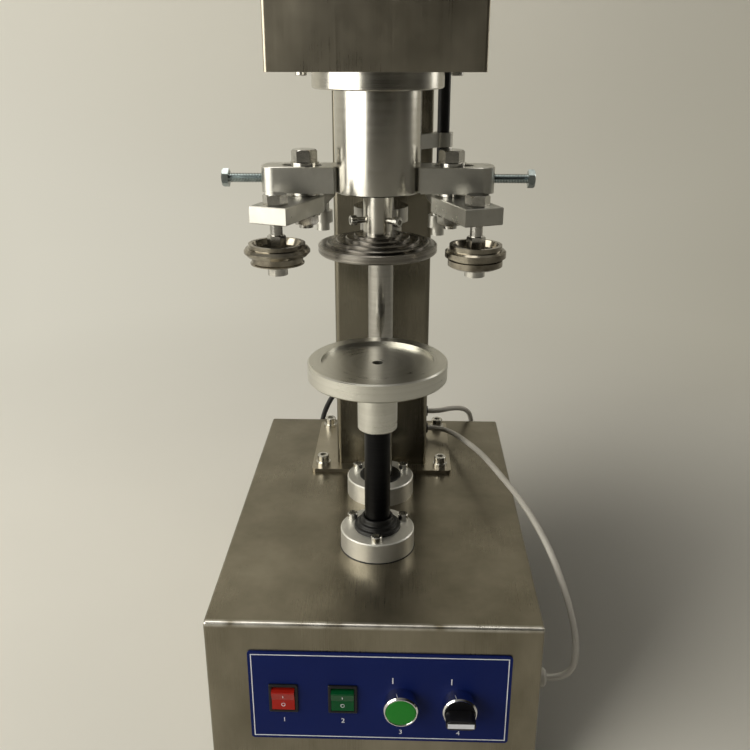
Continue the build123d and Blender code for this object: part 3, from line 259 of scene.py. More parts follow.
class Finish:
    """A material under construction: its tree, its Principled shader and its Object coordinates."""

    def __init__(self, name, roughness=0.4, metallic=0.0):
        self.material = bpy.data.materials.new(name)
        self.material.use_nodes = True
        self.tree = self.material.node_tree
        self.shader = self.tree.nodes["Principled BSDF"]
        self.shader.inputs["Roughness"].default_value = roughness
        self.shader.inputs["Metallic"].default_value = metallic
        self.place = self.tree.nodes.new("ShaderNodeTexCoord").outputs["Object"]

    def effect(self, group, **values):
        """Place a shared effect and set its inputs; returns its outputs."""
        node = self.tree.nodes.new("ShaderNodeGroup")
        node.node_tree = group
        self.tree.links.new(self.place, node.inputs["Vector"])
        for name, value in values.items():
            node.inputs[name].default_value = value
        return node.outputs

    def feed(self, name, socket):
        """Lead a socket to one of the shader's inputs."""
        self.tree.links.new(socket, self.shader.inputs[name])

    def bump(self, height, distance, strength):
        """Give the shader a fine relief."""
        node = self.tree.nodes.new("ShaderNodeBump")
        node.inputs["Distance"].default_value = distance
        node.inputs["Strength"].default_value = strength
        self.tree.links.new(height, node.inputs["Height"])
        self.tree.links.new(node.outputs["Normal"], self.shader.inputs["Normal"])


# How far from the base's front top edge the painted highlight ends, and where it is full
HIGHLIGHT_REACH = 5.0 * MM
HIGHLIGHT_CORE = 1.0 * MM
# The pale colour of the painted highlight on the base's front top edge
HIGHLIGHT_TONE = (0.72, 0.70, 0.66)


def stainless_sheet(name, dark, light, roughness, painted_edge_highlight=False):
    """Warm grey brushed sheet with cloudy handling marks; the base also has a painted highlight on its front
    top edge.
    """
    finish = Finish(name, metallic=1.0)
    tree = finish.tree
    grain = finish.effect(brushed_grain)
    marks = finish.effect(smudges, Size=0.6)
    tone = math_node(tree, "ADD", math_node(tree, "MULTIPLY", grain["Cloud"], 0.90),
                     math_node(tree, "MULTIPLY", grain["Lines"], 0.10))
    colour = colour_mix(tree, ramp(tree, tone, 0.3, 0.7), dark, light)
    rough = math_node(tree, "ADD", ramp(tree, grain["Lines"], 0.25, 0.75, *roughness),
                      math_node(tree, "MULTIPLY", marks["Patches"], 0.10))
    if painted_edge_highlight:
        # Painted highlight: a pale band along the base's front top edge, broken up by noise
        _, y, z = split_vector(tree, finish.place)
        front = ramp(tree, y, base_low.y + HIGHLIGHT_REACH, base_low.y + HIGHLIGHT_CORE)
        top = ramp(tree, z, base_high.z - HIGHLIGHT_REACH, base_high.z - HIGHLIGHT_CORE)
        breakup = ramp(tree, noise(tree, finish.place, 60.0, 4.0), 0.25, 0.6)
        worn = math_node(tree, "MULTIPLY", math_node(tree, "MULTIPLY", front, top), breakup)
        colour = colour_mix(tree, worn, colour, HIGHLIGHT_TONE)
    finish.feed("Base Color", colour)
    finish.feed("Roughness", rough)
    finish.bump(grain["Lines"], 0.004 * MM, 0.1)
    return finish.material


def turned_metal(name, dark, light, axis, roughness, pitch=1.0, depth=0.015):
    """Metal turned about an upright axis: rings in its colour, its gloss and its relief (depth in mm)."""
    finish = Finish(name, metallic=1.0)
    tree = finish.tree
    rings = finish.effect(turned_rings, Axis=axis, Pitch=pitch)
    marks = finish.effect(smudges, Size=1.5)
    tone = math_node(tree, "ADD", math_node(tree, "MULTIPLY", rings["Rings"], 0.5),
                     math_node(tree, "MULTIPLY", rings["Bands"], 0.5))
    colour = colour_mix(tree, ramp(tree, tone, 0.35, 0.65), dark, light)
    finish.feed("Base Color", colour)
    finish.feed("Roughness", math_node(tree, "ADD", ramp(tree, tone, 0.3, 0.7, *roughness),
                                       math_node(tree, "MULTIPLY", marks["Patches"], 0.08)))
    finish.bump(rings["Rings"], depth * MM, 0.4)
    return finish.material


def plated_metal(name, dark, light, roughness, size):
    """Plated or milled metal with patchy handling marks and specks."""
    finish = Finish(name, metallic=1.0)
    tree = finish.tree
    marks = finish.effect(smudges, Size=size)
    colour = colour_mix(tree, marks["Patches"], light, dark)
    colour = colour_mix(tree, math_node(tree, "MULTIPLY", marks["Specks"], 0.5), colour, dark)
    finish.feed("Base Color", colour)
    finish.feed("Roughness", ramp(tree, marks["Patches"], 0.0, 1.0, *roughness))
    finish.bump(marks["Patches"], 0.03 * MM, 0.4)
    return finish.material


def moulded(name, colour, worn, roughness, size, grain=0.02, shine=0.5):
    """Moulded plastic, rubber or paint: a fine grain (in mm), a rubbed tone and uneven gloss."""
    finish = Finish(name)
    tree = finish.tree
    finish.shader.inputs["Specular IOR Level"].default_value = shine
    marks = finish.effect(smudges, Size=size)
    rubbed = math_node(tree, "MULTIPLY", marks["Patches"], 0.35)
    finish.feed("Base Color", colour_mix(tree, rubbed, colour, worn))
    finish.feed("Roughness", ramp(tree, marks["Patches"], 0.0, 1.0, *roughness))
    finish.bump(noise(tree, finish.place, 2600.0, 2.0), grain * MM, 0.5)
    return finish.material


spindle_centre = (spindle_axis.x, spindle_axis.y, 0.0)
cam_centre = (cam_axis.x, cam_axis.y, 0.0)
finishes = {
    "base_sheet": stainless_sheet(
        "Base sheet", dark=(0.165, 0.148, 0.108), light=(0.30, 0.272, 0.212), roughness=(0.22, 0.32),
        painted_edge_highlight=True),
    "head_sheet": stainless_sheet(
        "Head sheet", dark=(0.315, 0.285, 0.223), light=(0.485, 0.445, 0.362), roughness=(0.24, 0.30)),
    "column_sheet": stainless_sheet(
        "Column sheet", dark=(0.145, 0.132, 0.102), light=(0.225, 0.208, 0.165), roughness=(0.17, 0.24)),
    "housing": turned_metal(
        "Turned housing", dark=(0.57, 0.55, 0.50), light=(0.64, 0.62, 0.57), axis=spindle_centre,
        roughness=(0.15, 0.21), depth=0.003),
    "milled": plated_metal(
        "Milled steel", dark=(0.47, 0.465, 0.43), light=(0.62, 0.61, 0.57), roughness=(0.27, 0.36),
        size=1.2),
    "lathe_aluminium": turned_metal(
        "Lathe aluminium", dark=(0.58, 0.57, 0.52), light=(0.66, 0.65, 0.60), axis=spindle_centre,
        roughness=(0.24, 0.31), depth=0.003),
    "flange_aluminium": plated_metal(
        "Flange aluminium", dark=(0.72, 0.71, 0.67), light=(0.86, 0.85, 0.81), roughness=(0.42, 0.54),
        size=2.0),
    "tool_steel": turned_metal(
        "Tool steel", dark=(0.16, 0.15, 0.135), light=(0.36, 0.34, 0.31), axis=spindle_centre,
        roughness=(0.18, 0.30)),
    "roll_steel": plated_metal(
        "Roll steel", dark=(0.15, 0.132, 0.105), light=(0.38, 0.35, 0.29), roughness=(0.13, 0.24),
        size=3.0),
    "shaft": turned_metal(
        "Ground shaft", dark=(0.33, 0.32, 0.30), light=(0.42, 0.41, 0.385), axis=cam_centre,
        roughness=(0.12, 0.20), depth=0.004),
    "black_shaft": turned_metal(
        "Black shaft", dark=(0.011, 0.011, 0.012), light=(0.018, 0.018, 0.019), axis=spindle_centre,
        roughness=(0.30, 0.38), pitch=3.0, depth=0.004),
    "screw": plated_metal(
        "Cap screw steel", dark=(0.46, 0.45, 0.42), light=(0.70, 0.69, 0.65), roughness=(0.20, 0.32),
        size=4.0),
    "bolt": plated_metal(
        "Bright bolt steel", dark=(0.40, 0.39, 0.365), light=(0.62, 0.61, 0.58), roughness=(0.12, 0.22),
        size=4.0),
    "zinc": plated_metal(
        "Zinc plate", dark=(0.27, 0.315, 0.32), light=(0.44, 0.495, 0.50), roughness=(0.18, 0.28),
        size=4.0),
    "chrome": plated_metal(
        "Bezel chrome", dark=(0.62, 0.62, 0.63), light=(0.82, 0.82, 0.83), roughness=(0.06, 0.14),
        size=3.0),
    "bronze": plated_metal(
        "Bush bronze", dark=(0.30, 0.19, 0.08), light=(0.50, 0.34, 0.16), roughness=(0.25, 0.40),
        size=2.0),
    "panel": moulded(
        "Panel blue", colour=(0.003, 0.010, 0.085), worn=(0.005, 0.014, 0.11), roughness=(0.45, 0.58),
        size=0.8, grain=0.01, shine=0.12),
    "black_plastic": moulded(
        "Black plastic", colour=(0.005, 0.005, 0.006), worn=(0.014, 0.014, 0.015), roughness=(0.30, 0.46),
        size=2.0, shine=0.3),
    "red_plastic": moulded(
        "Red rocker", colour=(0.30, 0.010, 0.006), worn=(0.38, 0.02, 0.012), roughness=(0.16, 0.26),
        size=2.0, grain=0.005, shine=0.2),
    "green_plastic": moulded(
        "Green rocker", colour=(0.002, 0.065, 0.018), worn=(0.005, 0.09, 0.027), roughness=(0.16, 0.26),
        size=2.0, grain=0.005, shine=0.15),
    "button_green": moulded(
        "Green button", colour=(0.012, 0.19, 0.019), worn=(0.02, 0.23, 0.026), roughness=(0.25, 0.36),
        size=2.0, grain=0.008, shine=0.2),
    "rubber": moulded(
        "Black rubber", colour=(0.005, 0.005, 0.005), worn=(0.012, 0.012, 0.011), roughness=(0.32, 0.48),
        size=1.5, grain=0.03, shine=0.4),
    "motor_paint": moulded(
        "Motor paint", colour=(0.12, 0.13, 0.14), worn=(0.20, 0.21, 0.22), roughness=(0.35, 0.50),
        size=0.8, grain=0.05),
    "grey_cable": moulded(
        "Grey cable sheath", colour=(0.46, 0.44, 0.40), worn=(0.58, 0.56, 0.52), roughness=(0.42, 0.58),
        size=1.5, grain=0.03),
    "black_cable": moulded(
        "Black cable sheath", colour=(0.012, 0.012, 0.013), worn=(0.03, 0.03, 0.032),
        roughness=(0.40, 0.55), size=1.5, grain=0.03),
    "white_print": moulded(
        "White print", colour=(0.72, 0.74, 0.80), worn=(0.60, 0.62, 0.68), roughness=(0.40, 0.55),
        size=2.0, grain=0.01),
}

node_finish = {
    "base_sheet": ["base_housing", "base_bottom_plate"],
    "head_sheet": ["head_cover", "column_base_plate"],
    "column_sheet": ["column_tube"],
    "housing": ["spindle_housing", "spindle_shaft"],
    "milled": [
        "head_base_plate", "slide_arms", "left_seaming_lever", "right_seaming_lever", "lift_lever",
        "lift_lever_bracket", "sensor_clip", "left_cam_follower", "right_cam_follower",
    ],
    "lathe_aluminium": ["lift_plate", "spindle_pulley", "motor_pulley"],
    "flange_aluminium": ["bearing_flanges"],
    "tool_steel": ["chuck"],
    "roll_steel": ["left_seaming_roll", "right_seaming_roll"],
    "shaft": ["cam_shaft", "seaming_cam", "lift_cam", "spindle_bearings"],
    "black_shaft": ["lift_shaft"],
    "screw": ["column_plate_screws", "flange_screws", "chuck_clamp_screws"],
    "bolt": ["left_pivot_bolt", "right_pivot_bolt", "left_roll_axle", "right_roll_axle"],
    "zinc": ["left_adjusting_screw", "right_adjusting_screw"],
    "chrome": ["jog_button_bezel", "selector_bezel"],
    "bronze": ["shaft_bushes"],
    "panel": ["control_panel_plate"],
    "black_plastic": [
        "power_rocker_frame", "head_rocker_frame", "selector_knob", "lever_sensor", "column_grommets",
        "rear_cable_glands",
    ],
    "red_plastic": ["power_rocker_cap"],
    "green_plastic": ["head_rocker_cap"],
    "button_green": ["jog_button_cap"],
    "rubber": ["rubber_feet", "shaft_seals", "drive_belt"],
    "motor_paint": ["gear_motor", "head_motor"],
    "grey_cable": ["head_cable", "rear_cable", "side_cable_gland"],
    "black_cable": ["black_cable"],
}


def paint(piece, finish):
    """Give a piece one finish."""
    piece.data.materials.clear()
    piece.data.materials.append(finishes[finish])


for finish, members in node_finish.items():
    for member in members:
        paint(nodes[member], finish)


# Cables

def lay_cable(name, route, diameter, finish, node):
    """A cable on the smooth line of its route, from the column's grommet to its gland."""
    points = [Vector(point) * MM for point in route]
    curve = bpy.data.curves.new(name, "CURVE")
    curve.dimensions = "3D"
    curve.bevel_depth = diameter / 2
    curve.bevel_resolution = 6
    curve.resolution_u = 12
    curve.use_fill_caps = True
    spline = curve.splines.new("NURBS")
    spline.points.add(len(points) - 1)
    for control, point in zip(spline.points, points):
        control.co = (*point, 1.0)
    spline.order_u = 3
    spline.use_endpoint_u = True
    cable = bpy.data.objects.new(name, curve)
    bpy.context.scene.collection.objects.link(cable)
    curve.materials.append(finishes[finish])
    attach(cable, "frame")
    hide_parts(node)


lay_cable("head_lead", HEAD_CABLE_ROUTE, GREY_CABLE_DIAMETER, "grey_cable", "head_cable")
lay_cable("rear_lead", REAR_CABLE_ROUTE, GREY_CABLE_DIAMETER, "grey_cable", "rear_cable")
lay_cable("black_lead", BLACK_CABLE_ROUTE, BLACK_CABLE_DIAMETER, "black_cable", "black_cable")


# Modelling helpers

MERGE_DISTANCE = 0.01 * MM


def choose(piece):
    """Select one piece alone and make it active."""
    bpy.ops.object.select_all(action="DESELECT")
    piece.select_set(True)
    bpy.context.view_layer.objects.active = piece


def edit_all(piece):
    """Open a piece for editing, with all of its mesh selected."""
    choose(piece)
    bpy.ops.object.mode_set(mode="EDIT")
    bpy.ops.mesh.select_all(action="SELECT")


def add_box(name, low, high):
    """A box between two corners, its place in its mesh."""
    bpy.ops.object.select_all(action="DESELECT")
    bpy.ops.mesh.primitive_cube_add(size=1.0)
    piece = bpy.context.object
    piece.name = name
    piece.scale = Vector(high) - Vector(low)
    piece.location = (Vector(high) + Vector(low)) / 2
    bpy.ops.object.transform_apply(location=True, rotation=True, scale=True)
    return piece


def apply_modifier(piece, kind, **values):
    """Add a modifier to a piece, set it and apply it."""
    modifier = piece.modifiers.new(kind.title(), kind)
    for name, value in values.items():
        setattr(modifier, name, value)
    choose(piece)
    bpy.ops.object.modifier_apply(modifier=modifier.name)


def settle(piece, matrix, body, finish):
    """Put a flat or upright piece in place, make its place part of its mesh, paint it and let it ride."""
    piece.matrix_world = matrix
    choose(piece)
    bpy.ops.object.transform_apply(location=True, rotation=True, scale=True)
    paint(piece, finish)
    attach(piece, body)


def join_pieces(name, pieces):
    """Join several pieces into one."""
    bpy.ops.object.select_all(action="DESELECT")
    for piece in pieces:
        piece.select_set(True)
    bpy.context.view_layer.objects.active = pieces[0]
    bpy.ops.object.join()
    pieces[0].name = name
    return pieces[0]


def copy_node(name, node):
    """A merged copy of a CAD node, as a piece that can be shaped."""
    piece = nodes[node].copy()
    piece.data = nodes[node].data.copy()
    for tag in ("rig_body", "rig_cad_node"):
        del piece[tag]
    piece.parent = None
    piece.name = name
    bpy.context.scene.collection.objects.link(piece)
    edit_all(piece)
    bpy.ops.mesh.customdata_custom_splitnormals_clear()
    bpy.ops.mesh.remove_doubles(threshold=MERGE_DISTANCE)
    bpy.ops.object.mode_set(mode="OBJECT")
    return piece


def stand_for(piece, node, body, finish):
    """Paint a shaped copy, let it ride and put it in the place of its node."""
    paint(piece, finish)
    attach(piece, body)
    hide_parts(node)


# Panel print and control marks

PRINT_THICKNESS = 0.12 * MM
BORDER_INSET = 2.6 * MM
BORDER_WIDTH = 0.8 * MM
TICK_HEIGHT = 6.0 * MM
TICK_WIDTH = 0.9 * MM
TICK_RISE = 22.0 * MM
TICK_SHIFT = 7.0 * MM
NUMERAL_SIZE = 6.5 * MM
ROCKER_NUMERAL_DROP = 24.0 * MM
ROUND_NUMERAL_DROP = 33.0 * MM
OFF_MARK_RADIUS = 1.5 * MM
OFF_MARK_LINE = 0.28 * MM
ON_MARK_WIDTH = 0.6 * MM
ON_MARK_HEIGHT = 3.2 * MM
SELECTOR_LINE_LENGTH = 22.0 * MM
SELECTOR_LINE_WIDTH = 4.6 * MM
# Cosine above which two faces of a rocker lie in one plane
ONE_PLANE = 0.9995


def front_matrix(x, y, z):
    """A frame on a front face: its X to the right, its Y up, its Z out of the face."""
    return Matrix(((1, 0, 0, x), (0, 0, -1, y), (0, 1, 0, z), (0, 0, 0, 1)))


def make_border():
    """The white line round the panel, just inside its edge."""
    bpy.ops.object.select_all(action="DESELECT")
    bpy.ops.mesh.primitive_plane_add(size=1.0)
    border = bpy.context.object
    border.name = "panel_border"
    panel_size = panel_high - panel_low
    border.scale = (panel_size.x - 2 * BORDER_INSET, panel_size.z - 2 * BORDER_INSET, 1.0)
    bpy.ops.object.transform_apply(location=True, rotation=True, scale=True)
    edit_all(border)
    bpy.ops.mesh.inset(thickness=BORDER_WIDTH)
    bpy.ops.mesh.delete(type="FACE")
    bpy.ops.object.mode_set(mode="OBJECT")
    apply_modifier(border, "SOLIDIFY", thickness=PRINT_THICKNESS, offset=1.0)
    middle = node_middle("control_panel_plate")
    settle(border, front_matrix(middle.x, panel_low.y, middle.z), "frame", "white_print")


def make_bar(name, width, height, matrix, body):
    """A printed bar with softened corners, on a face."""
    bar = add_box(name, (-width / 2, -height / 2, -PRINT_THICKNESS), (width / 2, height / 2, PRINT_THICKNESS))
    apply_modifier(bar, "BEVEL", width=PRINT_THICKNESS * 0.6, segments=2, limit_method="ANGLE")
    settle(bar, matrix, body, "white_print")


def make_numeral(text, size, matrix):
    """A printed numeral on the panel."""
    bpy.ops.object.select_all(action="DESELECT")
    bpy.ops.object.text_add()
    numeral = bpy.context.object
    numeral.name = f"panel_numeral_{text}"
    numeral.data.body = text
    numeral.data.size = size
    numeral.data.align_x = "CENTER"
    numeral.data.align_y = "CENTER"
    numeral.data.extrude = PRINT_THICKNESS
    bpy.ops.object.convert(target="MESH")
    settle(numeral, matrix, "frame", "white_print")


def make_ring_mark(name, radius, matrix, body):
    """A printed ring on a rocker."""
    bpy.ops.object.select_all(action="DESELECT")
    bpy.ops.mesh.primitive_torus_add(
        major_radius=radius, minor_radius=OFF_MARK_LINE, major_segments=32, minor_segments=8)
    ring = bpy.context.object
    ring.name = name
    ring.scale = (1.0, 1.0, 0.5)
    bpy.ops.object.transform_apply(location=True, rotation=True, scale=True)
    settle(ring, matrix, body, "white_print")


def rocker_face(node, upper):
    """A frame on the middle of a rocker cap's upper or lower sloping face."""
    mesh = nodes[node].data
    middle = node_middle(node)
    faces = [
        face for face in mesh.polygons
        if face.normal.y < -0.8 and (face.center.z > middle.z) == upper and abs(face.normal.x) < 0.1]
    flat = max(faces, key=lambda face: face.area).normal.copy()
    faces = [face for face in faces if face.normal.dot(flat) > ONE_PLANE]
    area = sum(face.area for face in faces)
    centre = sum((face.center * face.area for face in faces), Vector()) / area
    normal = sum((face.normal * face.area for face in faces), Vector()).normalized()
    across = Vector((1, 0, 0))
    rise = normal.cross(across)
    columns = (across, rise, normal, centre)
    return Matrix([[*(column[row] for column in columns)] for row in range(3)] + [[0, 0, 0, 1]])


make_border()
controls = ("power_rocker_frame", "head_rocker_frame", "jog_button_bezel", "selector_bezel")
for number, node in enumerate(controls, 1):
    spot = node_middle(node)
    drop = ROCKER_NUMERAL_DROP if node.endswith("rocker_frame") else ROUND_NUMERAL_DROP
    make_numeral(str(number), NUMERAL_SIZE, front_matrix(spot.x, panel_low.y, spot.z - drop))
for name in ("jog_button", "selector"):
    spot = node_middle(f"{name}_bezel")
    tick_place = front_matrix(spot.x - TICK_SHIFT, panel_low.y, spot.z + TICK_RISE)
    make_bar(f"{name}_tick", TICK_WIDTH, TICK_HEIGHT, tick_place, "frame")
for name in ("power_rocker", "head_rocker"):
    make_ring_mark(f"{name}_off_mark", OFF_MARK_RADIUS, rocker_face(f"{name}_cap", False), name)
    make_bar(f"{name}_on_mark", ON_MARK_WIDTH, ON_MARK_HEIGHT, rocker_face(f"{name}_cap", True), name)
knob_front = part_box("selector_knob")[0].y
knob_middle = node_middle("selector_knob")
make_bar("selector_line", SELECTOR_LINE_LENGTH, SELECTOR_LINE_WIDTH,
         front_matrix(knob_middle.x, knob_front, knob_middle.z), "selector")


# Threaded adjusting bolts

THREAD_PITCH = 1.25 * MM
THREAD_RADIUS = 4.0 * MM
THREAD_DEPTH = 0.65 * MM
BOLT_HEAD = 5.5 * MM
BOLT_SMOOTHING = math.radians(35)


def make_bolt(side, sign):
    """An adjusting bolt with its thread, in place of the plain one."""
    node = f"{side}_adjusting_screw"
    low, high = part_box(node)
    axis = node_middle(node)
    length = high.x - low.x - BOLT_HEAD
    neck = (high.x - BOLT_HEAD) if sign > 0 else (low.x + BOLT_HEAD)
    head = copy_node(f"{side}_adjusting_bolt", node)
    edit_all(head)
    bpy.ops.mesh.bisect(plane_co=(neck, 0, 0), plane_no=(sign, 0, 0), use_fill=True, clear_inner=True)
    bpy.ops.object.mode_set(mode="OBJECT")
    bpy.ops.object.select_all(action="DESELECT")
    middle = neck - sign * length / 2
    bpy.ops.mesh.primitive_cylinder_add(
        vertices=40, radius=THREAD_RADIUS - THREAD_DEPTH, depth=length, location=(middle, axis.y, axis.z),
        rotation=(0, math.radians(90), 0))
    core = bpy.context.object
    bpy.ops.object.select_all(action="DESELECT")
    bpy.ops.mesh.primitive_circle_add(vertices=3, radius=THREAD_DEPTH, fill_type="NOTHING")
    thread = bpy.context.object
    edit_all(thread)
    bpy.ops.transform.translate(value=(0, THREAD_RADIUS - THREAD_DEPTH, 0))
    bpy.ops.object.mode_set(mode="OBJECT")
    start = min(neck, neck - sign * length)
    thread.location = (start + THREAD_PITCH / 2, axis.y, axis.z)
    turns = int((length - THREAD_PITCH) / THREAD_PITCH)
    apply_modifier(thread, "SCREW", axis="X", screw_offset=THREAD_PITCH, iterations=turns, steps=20,
                   render_steps=20, use_merge_vertices=False)
    bolt = join_pieces(f"{side}_adjusting_bolt", [head, core, thread])
    bpy.ops.object.transform_apply(location=True, rotation=True, scale=True)
    edit_all(bolt)
    bpy.ops.mesh.fill_holes(sides=4)
    bpy.ops.mesh.select_all(action="SELECT")
    bpy.ops.mesh.normals_make_consistent(inside=False)
    bpy.ops.object.mode_set(mode="OBJECT")
    bpy.ops.object.shade_smooth_by_angle(angle=BOLT_SMOOTHING)
    stand_for(bolt, node, f"{side}_slider", "zinc")


make_bolt("left", -1)
make_bolt("right", 1)


# Moulded rubber with softened edges

LEVEL_ANGLE = math.radians(0.5)
RUBBER_EDGE_ANGLE = math.radians(40)
SEAL_ROUNDING = 1.0 * MM
FOOT_ROUNDING = 1.5 * MM


def soften(node, width):
    """A copy of a rubber node with its sharp edges rounded, in its place."""
    piece = copy_node(f"{node}_soft", node)
    edit_all(piece)
    bpy.ops.mesh.dissolve_limited(angle_limit=LEVEL_ANGLE)
    bpy.ops.object.mode_set(mode="OBJECT")
    apply_modifier(
        piece, "BEVEL", width=width, segments=3, limit_method="ANGLE", angle_limit=RUBBER_EDGE_ANGLE)
    bpy.ops.object.shade_smooth_by_angle(angle=RUBBER_EDGE_ANGLE)
    stand_for(piece, node, "frame", "rubber")


soften("shaft_seals", SEAL_ROUNDING)
soften("rubber_feet", FOOT_ROUNDING)


# Wide button and knob faces in thin chrome rims

RIM_RADIUS = 13.9 * MM
RIM_BORE = 13.3 * MM
FACE_RADIUS = 13.0 * MM
FACE_THICKNESS = 2.0 * MM
BORE_DEPTH = 6.5 * MM
STEP_DEPTH = 0.3 * MM
CHECK_GAP = 0.01 * MM
RIM_SMOOTHING = math.radians(30)
# Radii between which the rings of the plain solids lie
SOLID_RIM = (11.5 * MM, 12.5 * MM)
SOLID_BORE = (9.9 * MM, 10.8 * MM)
SOLID_FACE = (5.0 * MM, 10.5 * MM)


def cut_across(depths):
    """Cut the active piece across the panel's direction at several places."""
    bpy.ops.object.mode_set(mode="EDIT")
    for depth in depths:
        bpy.ops.mesh.select_all(action="SELECT")
        bpy.ops.mesh.bisect(plane_co=(0, depth, 0), plane_no=(0, 1, 0))
    bpy.ops.object.mode_set(mode="OBJECT")


def spread_ring(piece, axis, front, depth, rings, radius):
    """Scale the rings of a round piece that lie near its front, so that the widest gets a new radius."""
    mesh = piece.data
    chosen = []
    for vertex in mesh.vertices:
        far = math.hypot(vertex.co.x - axis.x, vertex.co.z - axis.z)
        near_front = -CHECK_GAP < vertex.co.y - front < depth + CHECK_GAP
        vertex.select = near_front and rings[0] < far < rings[1]
        if vertex.select:
            chosen.append(far)
    for part in (*mesh.edges, *mesh.polygons):
        part.select = all(mesh.vertices[index].select for index in part.vertices)
    growth = radius / max(chosen)
    bpy.ops.object.mode_set(mode="EDIT")
    bpy.ops.transform.resize(value=(growth, 1.0, growth), center_override=(axis.x, front, axis.z))
    bpy.ops.object.mode_set(mode="OBJECT")


def make_rim(name):
    """A round control's bezel with a thin rim and a wide bore at its front."""
    node = f"{name}_bezel"
    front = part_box(node)[0].y
    axis = node_middle(node)
    rim = copy_node(f"{name}_rim", node)
    cut_across((front + BORE_DEPTH, front + BORE_DEPTH + STEP_DEPTH))
    spread_ring(rim, axis, front, 0.0, SOLID_RIM, RIM_RADIUS)
    spread_ring(rim, axis, front, BORE_DEPTH, SOLID_BORE, RIM_BORE)
    bpy.ops.object.shade_smooth_by_angle(angle=RIM_SMOOTHING)
    stand_for(rim, node, "frame", "chrome")


def make_wide_face(name, node, body, finish):
    """A round control's cap or knob whose face fills the rim."""
    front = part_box(f"{name}_bezel")[0].y
    axis = node_middle(f"{name}_bezel")
    face = copy_node(f"{node}_wide", node)
    cut_across((front + FACE_THICKNESS, front + FACE_THICKNESS + STEP_DEPTH))
    spread_ring(face, axis, front, FACE_THICKNESS, SOLID_FACE, FACE_RADIUS)
    bpy.ops.object.shade_smooth_by_angle(angle=RIM_SMOOTHING)
    stand_for(face, node, body, finish)


make_rim("jog_button")
make_rim("selector")
make_wide_face("jog_button", "jog_button_cap", "jog_button", "button_green")
make_wide_face("selector", "selector_knob", "selector", "black_plastic")


# Thin uneven black ring at the foot of the lift flange

BEAD_RADIUS = 0.9 * MM
BEAD_UNEVENNESS = 0.35 * MM
FLANGE_RADIUS = 35.0 * MM


def make_sealing_bead():
    """A thin, uneven black rubber ring round the foot of the lift shaft's flange, on the base's top."""
    bpy.ops.object.select_all(action="DESELECT")
    bpy.ops.mesh.primitive_torus_add(
        major_radius=FLANGE_RADIUS, minor_radius=BEAD_RADIUS, major_segments=96, minor_segments=10,
        location=(spindle_axis.x, spindle_axis.y, base_high.z))
    bead = bpy.context.object
    bead.name = "lift_flange_bead"
    edit_all(bead)
    bpy.ops.transform.vertex_random(offset=BEAD_UNEVENNESS, seed=4)
    bpy.ops.mesh.vertices_smooth(factor=0.5, repeat=2)
    bpy.ops.object.mode_set(mode="OBJECT")
    bpy.ops.object.transform_apply(location=True, rotation=True, scale=True)
    bpy.ops.object.shade_smooth()
    paint(bead, "rubber")
    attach(bead, "frame")


make_sealing_bead()


# Stage, light and camera, in metres and degrees

FLOOR_WIDTH = 16.0
FLOOR_DEPTH = 7.0
FLOOR_BACK = 2.2
SWEEP_RADIUS = 1.5
WALL_HEIGHT = 5.0
# Where the floor's own glow begins and is full: behind the machine in mirrors, around it in view
MIRROR_FADE = (0.0, 1.9)
CAMERA_FADE = (0.45, 1.5)
ROOM_STRENGTH = 0.42
# The direction of the room's dim side
DIM_SIDE = (0.60, -0.79, -0.10)
LIGHT_TARGET = (0.0, -0.05, 0.45)
WARM_WHITE = (1.0, 0.97, 0.90)
WINDOW_WHITE = (1.0, 0.97, 0.88)
CAMERA_PLACE = (0.0210, -0.8088, 0.6541)
CAMERA_LENS = 41.82
CAMERA_SENSOR = 36.0
CAMERA_DROP = 21.10
CAMERA_TURN = 1.84


def backdrop_colour(tree, right, back):
    """The pale backdrop in a direction, with painted shade: light at the back left, darker at the back right,
    even elsewhere.
    """
    painted_shade_across = colour_mix(tree, ramp(tree, right, -0.36, 0.36), (0.66, 0.63, 0.53), (0.36, 0.338, 0.27))
    return colour_mix(tree, ramp(tree, back, -0.1, 0.4), (0.60, 0.58, 0.50), painted_shade_across)


